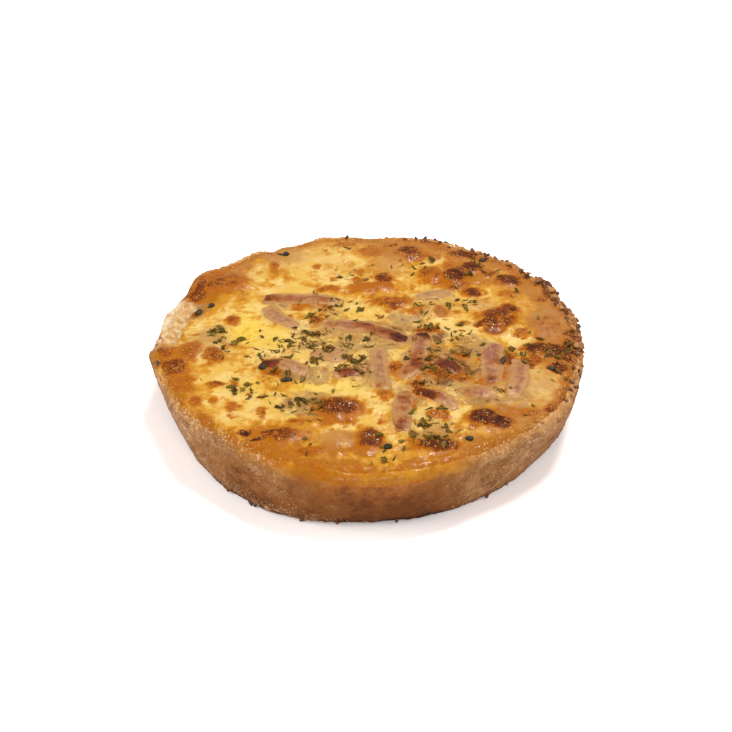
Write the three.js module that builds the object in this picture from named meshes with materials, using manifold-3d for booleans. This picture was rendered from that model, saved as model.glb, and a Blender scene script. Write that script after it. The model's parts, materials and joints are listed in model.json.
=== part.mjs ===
// A small round quiche, baked and whole: a shortcrust shell with a flared wall, filled to the rim with a
// set egg-and-cheese filling. Strips of cooked ham lie half sunk in the top, and dried herbs are
// scattered over it. A piece of the browned rim has come away on the left, down to the pale crumb.
// Millimetres, +Z up. The origin is the middle of the underside; +X is right and -Y is the front.
import * as THREE from "three";
import { mergeVertices } from "three/addons/utils/BufferGeometryUtils.js";
import Module from "manifold-3d";

// ---- driving dimensions ----
const RIM_RADIUS = 65.2;
const BASE_RADIUS = 60;
const RIM_HEIGHT = 22;
const RIM_TILT = 0.6; // the back of the rim stands higher than the front by twice this
const CRUST_WALL = 4.2;
const CRUST_FLOOR = 4;
const FILLING_DROP = { back: 0.9, front: 0.3 }; // from the top of the rim down to the filling
const FILLING_DOME = 0.9; // rise of the set filling from its edge to its middle
const GAP = 0.3; // clear space kept between two pieces that touch
const ROUND_STEPS = 90; // steps round the quiche
const TOP_RINGS = 17; // rings across the filling's top
const HERB_SEED = 20;

const TURN = 2 * Math.PI;
const wasm = await Module();
wasm.setup();

// ---- small helpers ----
const radians = THREE.MathUtils.degToRad;
const mix = THREE.MathUtils.lerp;
const smoothstep = (x, from, to) => THREE.MathUtils.smoothstep(x, from, to);

// Signed difference of two directions in degrees, from -180 to 180.
function degreesApart(a, b) {
  return ((((a - b) % 360) + 540) % 360) - 180;
}

// A repeatable stream of numbers from 0 to 1.
function seeded(seed) {
  let state = seed >>> 0;
  return () => {
    state = (Math.imul(state, 1664525) + 1013904223) >>> 0;
    return state / 4294967296;
  };
}

// ---- outline of the shell ----
// Folds and dents of the hand-pressed rim: direction in degrees, spread in degrees, how far each
// stands out and how far it stands up.
const RIM_FOLDS = [
  { at: 183, spread: 7, out: 1.4, up: 0.2 },
  { at: 161, spread: 8, out: 1.4, up: 0 },
  { at: 144, spread: 6, out: 2.1, up: 0.5 },
  { at: 134, spread: 4, out: 0.4, up: -0.3 },
  { at: 125, spread: 3, out: 0.9, up: 0.5 },
  { at: 119, spread: 3, out: -1.3, up: -0.5 },
  { at: 110, spread: 3, out: -1.4, up: -0.4 },
  { at: 104, spread: 4, out: 0.5, up: 0.4 },
  { at: 89, spread: 5, out: -1.8, up: -0.2 },
  { at: 70, spread: 7, out: 1.2, up: 0.3 },
  { at: 53, spread: 4, out: 1.2, up: -0.2 },
  { at: 45, spread: 3, out: 2.4, up: 0.4 },
  { at: 38, spread: 4, out: 1.6, up: 0 },
  { at: 30, spread: 2.5, out: 4.4, up: 0.8 },
  { at: 24, spread: 4, out: 1.2, up: 0 },
  { at: 14, spread: 5, out: 1.4, up: 0.1 },
  { at: 2, spread: 6, out: 0.7, up: 0 },
  { at: 330, spread: 8, out: 1.3, up: 0 },
  { at: 304, spread: 9, out: -1.9, up: -0.2 },
  { at: 268, spread: 12, out: 0.9, up: 0 },
  { at: 228, spread: 11, out: -2.4, up: 0.1 },
  { at: 199, spread: 9, out: -1.3, up: 0 },
];
const BASE_FOLDS = [
  { at: 248, spread: 18, out: 2.4 },
  { at: 226, spread: 10, out: 0.5 },
  { at: 203, spread: 12, out: -1.2 },
  { at: 305, spread: 12, out: -0.7 },
  { at: 325, spread: 10, out: -0.9 },
  { at: 345, spread: 10, out: 0.6 },
];

const foldsAt = (folds, degrees, key) =>
  folds.reduce(
    (sum, f) =>
      sum + f[key] * Math.exp(-((degreesApart(degrees, f.at) / f.spread) ** 2)),
    0,
  );
const rimFold = (degrees) => foldsAt(RIM_FOLDS, degrees, "out");
const rimRadius = (degrees) => RIM_RADIUS + rimFold(degrees);
const baseRadius = (degrees) =>
  BASE_RADIUS + foldsAt(BASE_FOLDS, degrees, "out");

// The torn place: where round the rim, how far in and how deep.
const TEAR = { from: 151, to: 182, edge: 2.5, inner: 54, depth: 2 };
function tornRound(degrees) {
  const into = smoothstep(degrees, TEAR.from - TEAR.edge, TEAR.from + TEAR.edge);
  const out = smoothstep(degrees, TEAR.to - TEAR.edge, TEAR.to + TEAR.edge);
  return into - out;
}

const rimHeight = (degrees) =>
  RIM_HEIGHT +
  RIM_TILT * Math.sin(radians(degrees)) +
  foldsAt(RIM_FOLDS, degrees, "up") -
  TEAR.depth * tornRound(degrees);

// Along the front the filling has run out level over the rim, which slopes off there: 1 in front
// and 0 at the back, where the crust stands up as a thin edge.
const runOver = (degrees) => smoothstep(-Math.sin(radians(degrees)), -0.35, 0.45);
const fillingDrop = (degrees) =>
  mix(FILLING_DROP.back, FILLING_DROP.front, runOver(degrees));

// Outer radius of the wall at a share of its height: nearly straight, with a slight belly.
const WALL_BELLY = 0.5;
const wallRadius = (degrees, share) =>
  mix(baseRadius(degrees), rimRadius(degrees), share) +
  WALL_BELLY * Math.sin(Math.PI * share);
// Inner radius of the wall there: it follows the folds only in part, so the wall is thick in a fold.
const HOLLOW_FOLLOWS = 0.6;
const hollowRadius = (degrees, share) =>
  wallRadius(degrees, share) -
  CRUST_WALL -
  (1 - HOLLOW_FOLLOWS) * share * rimFold(degrees);

// ---- the filling's top ----
// Blisters of browned cheese and lumps under the skin: middle, half sizes, and height.
const LUMPS = [
  { x: -6.8, y: -34.6, rx: 5.8, ry: 4.8, up: 1.3 },
  { x: 0.6, y: -49.4, rx: 3.8, ry: 4.6, up: 1.2 },
  { x: 34.4, y: -40.4, rx: 6.4, ry: 3.6, up: 1.4 },
  { x: 19.1, y: -52.2, rx: 6.2, ry: 2.8, up: 1.0 },
  { x: 39.8, y: 13.2, rx: 6.2, ry: 6.2, up: 1.8 },
  { x: 7.2, y: 21.4, rx: 7.0, ry: 3.6, up: 1.3 },
  { x: 3.5, y: 31.0, rx: 6.3, ry: 3.6, up: 1.2 },
  { x: 19.9, y: 38.3, rx: 3.6, ry: 4.0, up: 1.2 },
  { x: 30.7, y: 37.7, rx: 5.8, ry: 5.6, up: 1.6 },
  { x: 31.0, y: 51.0, rx: 5.4, ry: 3.6, up: 1.2 },
  { x: 12.8, y: 51.6, rx: 4.9, ry: 3.6, up: 0.9 },
  { x: 44.6, y: 34.6, rx: 4.3, ry: 4.2, up: 1.1 },
  { x: 51.0, y: -4.1, rx: 3.9, ry: 3.8, up: 1.0 },
  { x: 56.0, y: 11.0, rx: 5.6, ry: 7.0, up: 1.3 },
  { x: -46.5, y: 34.0, rx: 8.0, ry: 7.0, up: 1.2 },
  { x: -49.0, y: -3.0, rx: 6.5, ry: 6.0, up: 1.1 },
  { x: -24.5, y: -47.0, rx: 5.6, ry: 3.2, up: 0.9 },
  { x: 22.6, y: -18.0, rx: 4.6, ry: 4.6, up: 1.3 },
  { x: -24.4, y: -15.0, rx: 6.2, ry: 4.0, up: 1.2 },
  { x: 20.5, y: 20.5, rx: 6.0, ry: 5.5, up: 0.9 },
  { x: -9.0, y: -49.0, rx: 5.0, ry: 3.6, up: 0.8 },
  { x: 35.0, y: -25.0, rx: 5.4, ry: 3.4, up: 0.9 },
  { x: 12.0, y: 8.0, rx: 9.0, ry: 5.0, up: -0.9 },
  { x: -36.0, y: 2.0, rx: 9.0, ry: 7.0, up: -0.8 },
  { x: -8.0, y: -22.0, rx: 7.0, ry: 5.0, up: -0.7 },
  { x: 44.0, y: 1.5, rx: 6.0, ry: 4.0, up: -0.7 },
];

const lumpsAt = (x, y) =>
  LUMPS.reduce((sum, l) => {
    const far = ((x - l.x) / l.rx) ** 2 + ((y - l.y) / l.ry) ** 2;
    return sum + l.up * Math.exp(-0.9 * far * far);
  }, 0);
// The soft unevenness of the skin between the lumps.
const waves = (x, y) =>
  0.28 * Math.sin(0.21 * x + 0.9) * Math.cos(0.17 * y - 0.4) +
  0.16 * Math.sin(0.39 * x - 0.31 * y + 2.1);

function fillingHeight(x, y) {
  const radius = Math.hypot(x, y);
  const degrees = ((Math.atan2(y, x) * 360) / TURN + 360) % 360;
  const edgeRadius = hollowRadius(degrees, 1);
  const share = Math.min(radius / edgeRadius, 1);
  const edge = mix(
    RIM_HEIGHT - FILLING_DROP.back,
    rimHeight(degrees) - fillingDrop(degrees),
    smoothstep(share, 0.55, 1),
  );
  const torn =
    tornRound(degrees) * smoothstep(radius, TEAR.inner - 1, TEAR.inner + 1);
  const calm = 1 - smoothstep(share, 0.9, 1);
  const dome = FILLING_DOME * (1 - share ** 4);
  const level = edge + dome + calm * (lumpsAt(x, y) + waves(x, y));
  return level - TEAR.depth * torn * calm;
}

// ---- solids ----
// A lathed form whose points are then placed one by one: place(degrees, j) gives radius and height.
function roundForm(rowCount, place) {
  const rows = Array.from({ length: rowCount }, (_, j) => {
    const onAxis = j === 0 || j === rowCount - 1;
    return new THREE.Vector2(onAxis ? 0 : 1, j);
  });
  const form = new THREE.LatheGeometry(rows, ROUND_STEPS);
  const at = form.getAttribute("position");
  for (let i = 0; i <= ROUND_STEPS; i++) {
    const degrees = (360 * (i % ROUND_STEPS)) / ROUND_STEPS;
    for (let j = 0; j < rowCount; j++) {
      const [radius, height] = place(degrees, j);
      at.setXYZ(
        i * rowCount + j,
        radius * Math.cos(radians(degrees)),
        radius * Math.sin(radians(degrees)),
        height,
      );
    }
  }
  return form;
}

// A closed geometry as a solid, whichever way round its faces came.
function solidOf(geometry) {
  const bare = geometry.clone();
  bare.deleteAttribute("normal");
  bare.deleteAttribute("uv");
  const merged = mergeVertices(bare, 1e-4);
  const make = () =>
    new wasm.Manifold(
      new wasm.Mesh({
        numProp: 3,
        vertProperties: merged.attributes.position.array,
        triVerts: new Uint32Array(merged.index.array),
      }),
    );
  let solid = make();
  if (solid.volume() < 0) {
    const index = merged.index.array;
    for (let i = 0; i < index.length; i += 3)
      [index[i + 1], index[i + 2]] = [index[i + 2], index[i + 1]];
    solid = make();
  }
  return solid;
}

function geometryOf(solid) {
  const { vertProperties, triVerts } = solid.getMesh();
  return new THREE.BufferGeometry()
    .setAttribute("position", new THREE.BufferAttribute(vertProperties, 3))
    .setIndex(new THREE.BufferAttribute(triVerts, 1));
}

// The shell: underside, rounded foot, flared wall, rolled crest and the hollow for the filling.
const HOLLOW_FOOT = 1.6; // radius of the curve between floor and wall, inside
const EDGE_DEPTH = 0.4; // how far the filling's edge goes straight down the rim
function crustPoint(degrees, j) {
  const top = rimHeight(degrees);
  const foot = baseRadius(degrees);
  const crest = rimRadius(degrees);
  const roll = runOver(degrees);
  const wall = (share) => [wallRadius(degrees, share), share * top];
  const inner = (share, height) => [hollowRadius(degrees, share), height];
  return [
    [0, 0],
    [0.5 * foot, 0],
    [foot - 2.2, 0],
    [foot - 0.7, 0.5],
    [foot, 1.9],
    wall(0.3),
    wall(0.55),
    wall(0.8),
    [crest - mix(0.1, 0.3, roll), top - mix(1.9, 3.4, roll)],
    [crest - mix(0.8, 1.1, roll), top - mix(0.6, 1.8, roll)],
    [crest - mix(2.1, 2.4, roll), top - mix(0, 0.7, roll)],
    [hollowRadius(degrees, 1) + 0.5, top - mix(0.4, 0.1, roll)],
    inner(1, top - fillingDrop(degrees) - EDGE_DEPTH),
    inner(0.6, 0.6 * top),
    inner(0.27, CRUST_FLOOR + HOLLOW_FOOT),
    [foot - CRUST_WALL - HOLLOW_FOOT, CRUST_FLOOR],
    [0, CRUST_FLOOR],
  ][j];
}
const CRUST_ROWS = 17;
const crust = solidOf(roundForm(CRUST_ROWS, crustPoint));

// The filling: its uneven top from the middle outwards, then down the hollow, a hair inside it.
// Its rows down the side are the shell's own, in the same order, so the gap stays even.
function fillingPoint(degrees, j) {
  const top = rimHeight(degrees);
  const side = (share) => hollowRadius(degrees, share) - GAP;
  if (j < TOP_RINGS) {
    const radius = side(1) * (1 - (1 - j / (TOP_RINGS - 1)) ** 1.12);
    const x = radius * Math.cos(radians(degrees));
    const y = radius * Math.sin(radians(degrees));
    return [radius, fillingHeight(x, y)];
  }
  return [
    [side(1), top - fillingDrop(degrees) - EDGE_DEPTH],
    [side(0.6), 0.6 * top],
    [side(0.27), CRUST_FLOOR + HOLLOW_FOOT],
    [baseRadius(degrees) - CRUST_WALL - HOLLOW_FOOT - GAP, CRUST_FLOOR + GAP],
    [0, CRUST_FLOOR + GAP],
  ][j - TOP_RINGS];
}
const fillingCore = solidOf(roundForm(5 + TOP_RINGS, fillingPoint));

// Strips and scraps cut from slices of cooked ham, named for where they lie: middle, direction in
// degrees, sizes, and how many degrees the strip bends from end to end.
const HAM = [
  { name: "back_left", x: -20.6, y: 23.4, turn: -6, long: 23, wide: 4.8, bend: -20 },
  { name: "back_left_fold", x: -27.2, y: 12.4, turn: -48, long: 15, wide: 4.2, bend: 40 },
  { name: "middle_long", x: -0.6, y: 6.0, turn: -19, long: 26, wide: 5.0, bend: -35 },
  { name: "middle_left_upright", x: 3.4, y: -14.6, turn: -86, long: 21, wide: 4.2, bend: 15 },
  { name: "middle_left_brown", x: -5.4, y: -16.8, turn: 18, long: 9, wide: 3.6, bend: 10 },
  { name: "middle_upright", x: 14.6, y: -7.6, turn: -103, long: 25, wide: 4.8, bend: -30 },
  { name: "middle_right_piece", x: 23.4, y: -13.6, turn: -52, long: 10, wide: 5.0, bend: 10 },
  { name: "front_upright", x: 10.0, y: -36.2, turn: -94, long: 18, wide: 4.6, bend: 20 },
  { name: "front_right", x: 21.0, y: -30.0, turn: -40, long: 11.5, wide: 4.0, bend: -25 },
  { name: "right_wide", x: 36.8, y: -11.4, turn: -93, long: 20, wide: 6.2, bend: 12 },
  { name: "right_narrow", x: 43.8, y: -20.0, turn: -99, long: 19, wide: 4.6, bend: -25 },
  { name: "right_shreds", x: 31.8, y: -27.2, turn: -5, long: 10, wide: 4.2, bend: 15 },
  { name: "left_buried", x: -11.4, y: -8.0, turn: -4, long: 10, wide: 7.0, bend: 5 },
  { name: "left_brown", x: -24.0, y: -14.6, turn: -23, long: 13, wide: 4.8, bend: -20 },
  { name: "back_right", x: 20.8, y: 25.4, turn: 22, long: 11, wide: 4.2, bend: 20 },
];
const HAM_THICK = 3.0;
const HAM_PROUD = 1.0; // how far a strip stands out of the filling
const HAM_STEPS = { long: 6, wide: 2, thick: 2 };
const HAM_WAVER = 0.1; // share of its width by which a strip's cut edges wander
const SOFT_EDGE = 0.28; // share of the section that is rounded off
const TIP_NARROWS = 0.22; // share of its width that a strip loses at its tips
const TIP_THINS = 0.3; // and of its thickness

// A long block with soft edges, bent to an arc and laid along the filling's skin.
function hamStrip(strip, grow) {
  const long = strip.long + 2 * grow;
  const wide = strip.wide + 2 * grow;
  const thick = HAM_THICK + 2 * grow;
  const { long: a, wide: b, thick: c } = HAM_STEPS;
  const block = new THREE.BoxGeometry(long, wide, thick, a, b, c);
  const at = block.getAttribute("position");
  const turn = radians(strip.turn);
  const curve = radians(strip.bend) / strip.long;
  for (let i = 0; i < at.count; i++) {
    const s = at.getX(i);
    const side = (2 * at.getY(i)) / wide;
    const up = (2 * at.getZ(i)) / thick;
    const tip = smoothstep(Math.abs(s), long / 2 - strip.wide, long / 2);
    const waver = 1 + HAM_WAVER * Math.sin(0.7 * s + strip.x + side);
    const across =
      side * waver * Math.sqrt(1 - SOFT_EDGE * up * up) * (1 - TIP_NARROWS * tip);
    const rise = up * Math.sqrt(1 - SOFT_EDGE * side * side) * (1 - TIP_THINS * tip);
    const arc = (curve / 2) * (s * s - (long * long) / 12);
    const offset = (across * wide) / 2 + arc;
    const x = strip.x + s * Math.cos(turn) - offset * Math.sin(turn);
    const y = strip.y + s * Math.sin(turn) + offset * Math.cos(turn);
    const bed = fillingBedUnder(x, y);
    at.setXYZ(i, x, y, bed + HAM_PROUD - HAM_THICK / 2 + (rise * thick) / 2);
  }
  return solidOf(block);
}

// The filling's height smoothed over a ham strip's width, so that a strip rides over small lumps.
const BED = { reach: 2.5, samples: 6 };
function fillingBedUnder(x, y) {
  let sum = fillingHeight(x, y);
  for (let k = 0; k < BED.samples; k++) {
    const angle = (TURN * k) / BED.samples;
    sum += fillingHeight(
      x + BED.reach * Math.cos(angle),
      y + BED.reach * Math.sin(angle),
    );
  }
  return sum / (BED.samples + 1);
}

// Dried herbs: a flake is a thin, bent leaf scrap. They lie thickest in the middle.
const HERB_CLUSTERS = [
  { x: -17.0, y: 1.0, spread: 9, count: 16 },
  { x: -10.0, y: 17.5, spread: 5, count: 5 },
  { x: -3.5, y: -10.0, spread: 7, count: 5 },
  { x: -28.5, y: -6.5, spread: 5, count: 4 },
  { x: -45.0, y: 3.5, spread: 5, count: 4 },
  { x: -19.0, y: -34.0, spread: 4.5, count: 5 },
  { x: 27.0, y: -5.0, spread: 7, count: 6 },
  { x: 18.5, y: -44.5, spread: 5, count: 5 },
  { x: -31.0, y: -28.5, spread: 4, count: 3 },
  { x: -5.0, y: 37.0, spread: 4, count: 3 },
  { x: 30.0, y: 22.0, spread: 6, count: 2 },
  { x: 0, y: 0, spread: 34, count: 7 },
];
const FLAKE = { long: [2.2, 4.2], wide: [0.9, 1.7], thick: 0.5, sunk: 0.12 };
const FLAKE_ROOM = 1.5; // least distance between two flakes
const FLAKE_CURL = 0.08; // how fast a flake's ends rise
const FLAKE_CANT = 0.1; // slope across a flake
const TRIES = 400; // draws for one cluster before it is left as it is

// Whole dried berries and dark leaf crumbs, larger than the flakes.
const DARK_GRAINS = [
  { x: -52.4, y: 18.0, long: 2.4, wide: 1.3 },
  { x: -48.7, y: 22.0, long: 1.7, wide: 1.4 },
  { x: -30.6, y: -15.3, long: 1.5, wide: 1.5 },
  { x: -26.7, y: 50.0, long: 1.5, wide: 1.3 },
  { x: 5.8, y: -53.0, long: 1.6, wide: 1.1 },
  { x: 28.4, y: -48.9, long: 1.5, wide: 1.2 },
  { x: -23.6, y: -22.0, long: 2.6, wide: 1.1 },
  { x: 39.9, y: -4.0, long: 1.4, wide: 1.1 },
];

function distanceToHam(x, y) {
  return Math.min(
    ...HAM.map((strip) => {
      const turn = radians(strip.turn);
      const dx = x - strip.x;
      const dy = y - strip.y;
      const along = Math.abs(dx * Math.cos(turn) + dy * Math.sin(turn));
      const aside = Math.abs(-dx * Math.sin(turn) + dy * Math.cos(turn));
      return Math.hypot(
        Math.max(along - strip.long / 2, 0),
        Math.max(aside - strip.wide / 2, 0),
      );
    }),
  );
}

// Places for the flakes, cluster by cluster, each kept clear of the ham and of its neighbours.
function flakePlaces() {
  const draw = seeded(HERB_SEED);
  const places = [];
  for (const cluster of HERB_CLUSTERS) {
    for (let made = 0, tries = 0; made < cluster.count && tries < TRIES; tries++) {
      const angle = TURN * draw();
      const far = cluster.spread * Math.sqrt(-Math.log(1 - 0.9 * draw()));
      const flake = {
        x: cluster.x + far * Math.cos(angle),
        y: cluster.y + far * Math.sin(angle),
        turn: TURN * draw(),
        size: draw(),
        tilt: draw() - 0.5,
      };
      const long = mix(...FLAKE.long, flake.size);
      const near = places.some(
        (p) => Math.hypot(p.x - flake.x, p.y - flake.y) < FLAKE_ROOM + long / 2,
      );
      const onHam = distanceToHam(flake.x, flake.y) < long / 2 + 3 * GAP;
      const offTop = Math.hypot(flake.x, flake.y) > RIM_RADIUS - 2 * CRUST_WALL;
      if (near || onHam || offTop) continue;
      places.push(flake);
      made++;
    }
  }
  return places.sort((a, b) => b.size - a.size);
}

function herbFlake({ x, y, turn, size, tilt }) {
  const long = mix(...FLAKE.long, size);
  const wide = mix(...FLAKE.wide, 1 - size);
  const outline = new THREE.Shape([
    new THREE.Vector2(-long / 2, 0),
    new THREE.Vector2(0, -wide / 2),
    new THREE.Vector2(long / 2, -wide / 8),
    new THREE.Vector2(long / 4, wide / 2),
    new THREE.Vector2(-long / 4, wide / 3),
  ]);
  const leaf = new THREE.ExtrudeGeometry(outline, {
    depth: FLAKE.thick,
    bevelEnabled: false,
  });
  const at = leaf.getAttribute("position");
  for (let i = 0; i < at.count; i++) {
    const curl = FLAKE_CURL * at.getX(i) ** 2;
    const cant = FLAKE_CANT * at.getY(i);
    at.setZ(i, at.getZ(i) + tilt * (curl + cant));
  }
  leaf.rotateZ(turn);
  leaf.translate(x, y, fillingHeight(x, y) - FLAKE.sunk);
  return solidOf(leaf);
}

function darkGrain({ x, y, long, wide }) {
  const grain = new THREE.SphereGeometry(1, 7, 5);
  grain.scale(wide, long, wide);
  grain.translate(x, y, fillingHeight(x, y));
  return solidOf(grain);
}

// Flakes and grains are fused on first, then each strip's bed is cut, and a loose scrap is dropped.
let filling = fillingCore;
for (const place of flakePlaces()) filling = filling.add(herbFlake(place));
for (const grain of DARK_GRAINS) filling = filling.add(darkGrain(grain));
for (const strip of HAM) filling = filling.subtract(hamStrip(strip, GAP));
filling = filling
  .decompose()
  .reduce((a, b) => (a.volume() > b.volume() ? a : b));

// ---- materials and the assembled quiche ----
const PASTRY = { color: 0xb9854f, roughness: 0.75 };
const CUSTARD = { color: 0xf0c96a, roughness: 0.4 };
const COOKED_HAM = { color: 0xc4907a, roughness: 0.45 };

const quiche = new THREE.Group();
function addPiece(name, solid, finish) {
  const material = new THREE.MeshStandardMaterial({ metalness: 0, ...finish });
  const piece = new THREE.Mesh(geometryOf(solid), material);
  piece.name = name;
  quiche.add(piece);
}
addPiece("crust", crust, PASTRY);
addPiece("filling", filling, CUSTARD);
for (const strip of HAM)
  addPiece("ham_" + strip.name, hamStrip(strip, 0), COOKED_HAM);

export default quiche;
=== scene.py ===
# A small round quiche with ham and dried herbs, baked in its shell and standing on a pale table.
# The lists give places and sizes in millimetres and directions in degrees from +X; +Z is up and
# the front is towards -Y. Everything is turned into metres where its mesh is made.
import json
import math

import bmesh
import bpy
import numpy as np
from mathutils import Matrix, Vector, noise
from mathutils.bvhtree import BVHTree
from mathutils.kdtree import KDTree

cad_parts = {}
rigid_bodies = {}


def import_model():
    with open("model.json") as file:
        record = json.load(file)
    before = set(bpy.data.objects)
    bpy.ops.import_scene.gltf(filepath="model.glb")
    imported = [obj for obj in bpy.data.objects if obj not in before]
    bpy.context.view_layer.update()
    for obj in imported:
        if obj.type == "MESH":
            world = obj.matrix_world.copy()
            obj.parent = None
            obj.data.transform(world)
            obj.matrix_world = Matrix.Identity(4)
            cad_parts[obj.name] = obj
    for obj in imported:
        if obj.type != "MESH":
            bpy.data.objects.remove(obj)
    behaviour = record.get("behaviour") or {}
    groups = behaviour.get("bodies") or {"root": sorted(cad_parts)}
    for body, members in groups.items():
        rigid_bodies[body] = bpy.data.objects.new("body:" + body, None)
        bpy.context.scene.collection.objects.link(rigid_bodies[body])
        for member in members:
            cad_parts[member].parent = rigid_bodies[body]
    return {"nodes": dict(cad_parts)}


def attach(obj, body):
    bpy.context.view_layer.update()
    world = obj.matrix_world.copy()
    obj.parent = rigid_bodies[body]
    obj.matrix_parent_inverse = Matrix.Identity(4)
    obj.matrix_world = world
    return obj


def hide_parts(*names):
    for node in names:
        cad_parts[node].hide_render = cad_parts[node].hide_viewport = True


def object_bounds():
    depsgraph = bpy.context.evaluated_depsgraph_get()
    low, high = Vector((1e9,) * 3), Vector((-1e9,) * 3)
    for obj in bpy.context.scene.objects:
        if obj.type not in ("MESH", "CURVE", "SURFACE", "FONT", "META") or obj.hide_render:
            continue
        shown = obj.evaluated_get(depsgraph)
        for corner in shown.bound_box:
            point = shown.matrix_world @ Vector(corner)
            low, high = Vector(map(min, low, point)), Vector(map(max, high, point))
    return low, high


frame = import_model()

cad_box = [list(corner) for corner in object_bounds()]
MM = 0.001

# ---- The table and its light ----
# The quiche stands free on a plain white table top. A wide soft lamp hangs above it, a little
# behind and to the right, and a white room fills in the shadows.
VIEW_ELEVATION = math.radians(35.25)
VIEW_DISTANCE = 0.520
VIEW_LENS = 82.7
VIEW_AIM = Vector((-0.0006, 0, 0.0131))
TABLE_WIDTH = 6.0
ROOM_LIGHT = 0.40
ROOM_COLOUR = (1.0, 0.985, 0.97, 1.0)
LAMPS = [  # name, place, width, watts, warmth
    ("overhead", (0.20, 0.26, 1.00), 0.34, 13.0, (1.0, 0.98, 0.95)),
    ("behind", (0.16, 0.60, 0.80), 0.12, 1.8, (1.0, 0.97, 0.92)),
    ("front_fill", (0.05, -1.00, 0.50), 0.60, 8.0, (1.0, 0.98, 0.96)),
    ("left_fill", (-0.95, -0.15, 0.50), 0.60, 9.5, (1.0, 0.98, 0.96)),
    ("right_fill", (0.95, -0.10, 0.50), 0.60, 5.0, (1.0, 0.98, 0.96)),
]


def add_node(tree, kind, inputs=None, **settings):
    """A node with its settings, and with each input set to a value or fed by an output socket."""
    node = tree.nodes.new(kind)
    for name, value in settings.items():
        setattr(node, name, value)
    for key, value in (inputs or {}).items():
        if isinstance(value, bpy.types.NodeSocket):
            tree.links.new(value, node.inputs[key])
        else:
            node.inputs[key].default_value = value
    return node


def new_material(name, inputs, **settings):
    """A material with one Principled shader; gives the material, its tree and the shader."""
    material = bpy.data.materials.new(name)
    material.use_nodes = True
    tree = material.node_tree
    tree.nodes.clear()
    shader = add_node(tree, "ShaderNodeBsdfPrincipled", inputs, **settings)
    out = tree.nodes.new("ShaderNodeOutputMaterial")
    tree.links.new(shader.outputs["BSDF"], out.inputs["Surface"])
    return material, tree, shader


def placed(name, data):
    """An object at the origin that shows a mesh, or is a lamp or a camera."""
    made = bpy.data.objects.new(name, data)
    scene.collection.objects.link(made)
    return made


def new_mesh_object(name, vertices_mm, faces):
    """A smooth-shaded mesh object at the origin, from vertices in millimetres."""
    mesh = bpy.data.meshes.new(name)
    mesh.from_pydata((np.asarray(vertices_mm) * MM).tolist(), [], faces)
    mesh.update()
    mesh.shade_smooth()
    return placed(name, mesh)


scene = bpy.context.scene
scene.view_settings.view_transform = "Standard"
eye = VIEW_DISTANCE * Vector((0, -math.cos(VIEW_ELEVATION), math.sin(VIEW_ELEVATION)))
camera = placed("viewer", bpy.data.cameras.new("viewer"))
camera.data.lens = VIEW_LENS
camera.location = eye
camera.rotation_euler = (VIEW_AIM - eye).to_track_quat("-Z", "Y").to_euler()
scene.camera = camera

for name, place, width, watts, warmth in LAMPS:
    lamp = placed(name, bpy.data.lights.new(name, "AREA"))
    lamp.data.size = width
    lamp.data.energy = watts
    lamp.data.color = warmth
    lamp.location = place
    lamp.rotation_euler = (-Vector(place)).to_track_quat("-Z", "Y").to_euler()

room = bpy.data.worlds.new("white room")
room.use_nodes = True
room.node_tree.nodes["Background"].inputs["Color"].default_value = ROOM_COLOUR
room.node_tree.nodes["Background"].inputs["Strength"].default_value = ROOM_LIGHT
scene.world = room

half_table = 1000 * TABLE_WIDTH / 2
table = new_mesh_object(
    "table_top",
    [(x * half_table, y * half_table, 0) for x, y in ((-1, -1), (1, -1), (1, 1), (-1, 1))],
    [(0, 1, 2, 3)],
)
table_paint, _, _ = new_material(
    "white table paint", {"Base Color": (0.98, 0.94, 0.93, 1), "Roughness": 0.7})
table.data.materials.append(table_paint)

# ---- The pastry shell ----
# Shortcrust pressed into a flared mould by hand: a dry wall, floury and granular, and a rim over
# which cheese has run and browned. On the left a piece of the rim has come away to the pale crumb.
ROUND = 900  # steps round the shell
SECTION_STEP = 4  # degrees between two of the shell's own sections
WALL_BELT = 2.1  # from the outer wall to the middle of the pastry
HIGHEST = 1000 * cad_box[1][2] - 0.05  # nothing of the quiche stands higher, in millimetres
# Rows of faces between one point of the section and the next, from the underside's middle over the
# foot, wall and rim to the hollow's floor.
SECTION_ROWS = (2, 2, 3, 4, 9, 10, 10, 7, 6, 6, 6, 5, 3, 1, 1, 1)
# How browned the cheese on the rim is: direction, spread and amount on top of the even browning.
RIM_EVENLY = 0.15
RIM_BROWNED = [
    (187, 6, -0.06), (198, 7, 0.04), (212, 8, 0.04), (226, 6, 0.14), (238, 5, 0.02), (247, 7, 0.1),
    (262, 10, -0.03), (288, 10, 0), (306, 8, 0.1), (322, 9, 0.14), (340, 10, 0.22), (357, 9, 0.44),
    (14, 7, 0.2), (30, 9, 0.14), (44, 7, 0.3), (58, 6, 0.22), (72, 8, 0.3), (88, 6, 0.1),
    (98, 5, 0.2), (112, 8, 0.08), (122, 4, 0.2), (134, 6, 0.2), (148, 6, 0.5),
]
TEAR = (156, 178.5)  # directions between which the rim has come away
TEAR_SOFT = 2.5
# Where the rim has broken into burnt crumbs: direction, spread and share.
CRUMBLY = [(8, 22, 1), (52, 14, 0.55), (84, 12, 0.35), (330, 14, 0.25)]
TAN_RIM = [  # where the rim is tan, not orange
    (8, 26, 0.8), (60, 30, 0.9), (108, 24, 1), (134, 12, 0.5), (325, 22, 0.9),
]
# Where the pastry's own grains stand out, on the rim and the wall: direction, spread and share.
GRANULAR = [
    (188, 10, 0.7), (216, 20, 0.9), (240, 8, 0.5), (304, 9, 0.7), (326, 14, 1), (350, 12, 1),
    (20, 12, 0.5), (66, 18, 0.5), (100, 16, 0.7), (128, 12, 0.7),
]
GRANULAR_TO_FOOT = [(214, 30, 1), (20, 30, 1), (110, 50, 1)]  # elsewhere only the rim is
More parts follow.
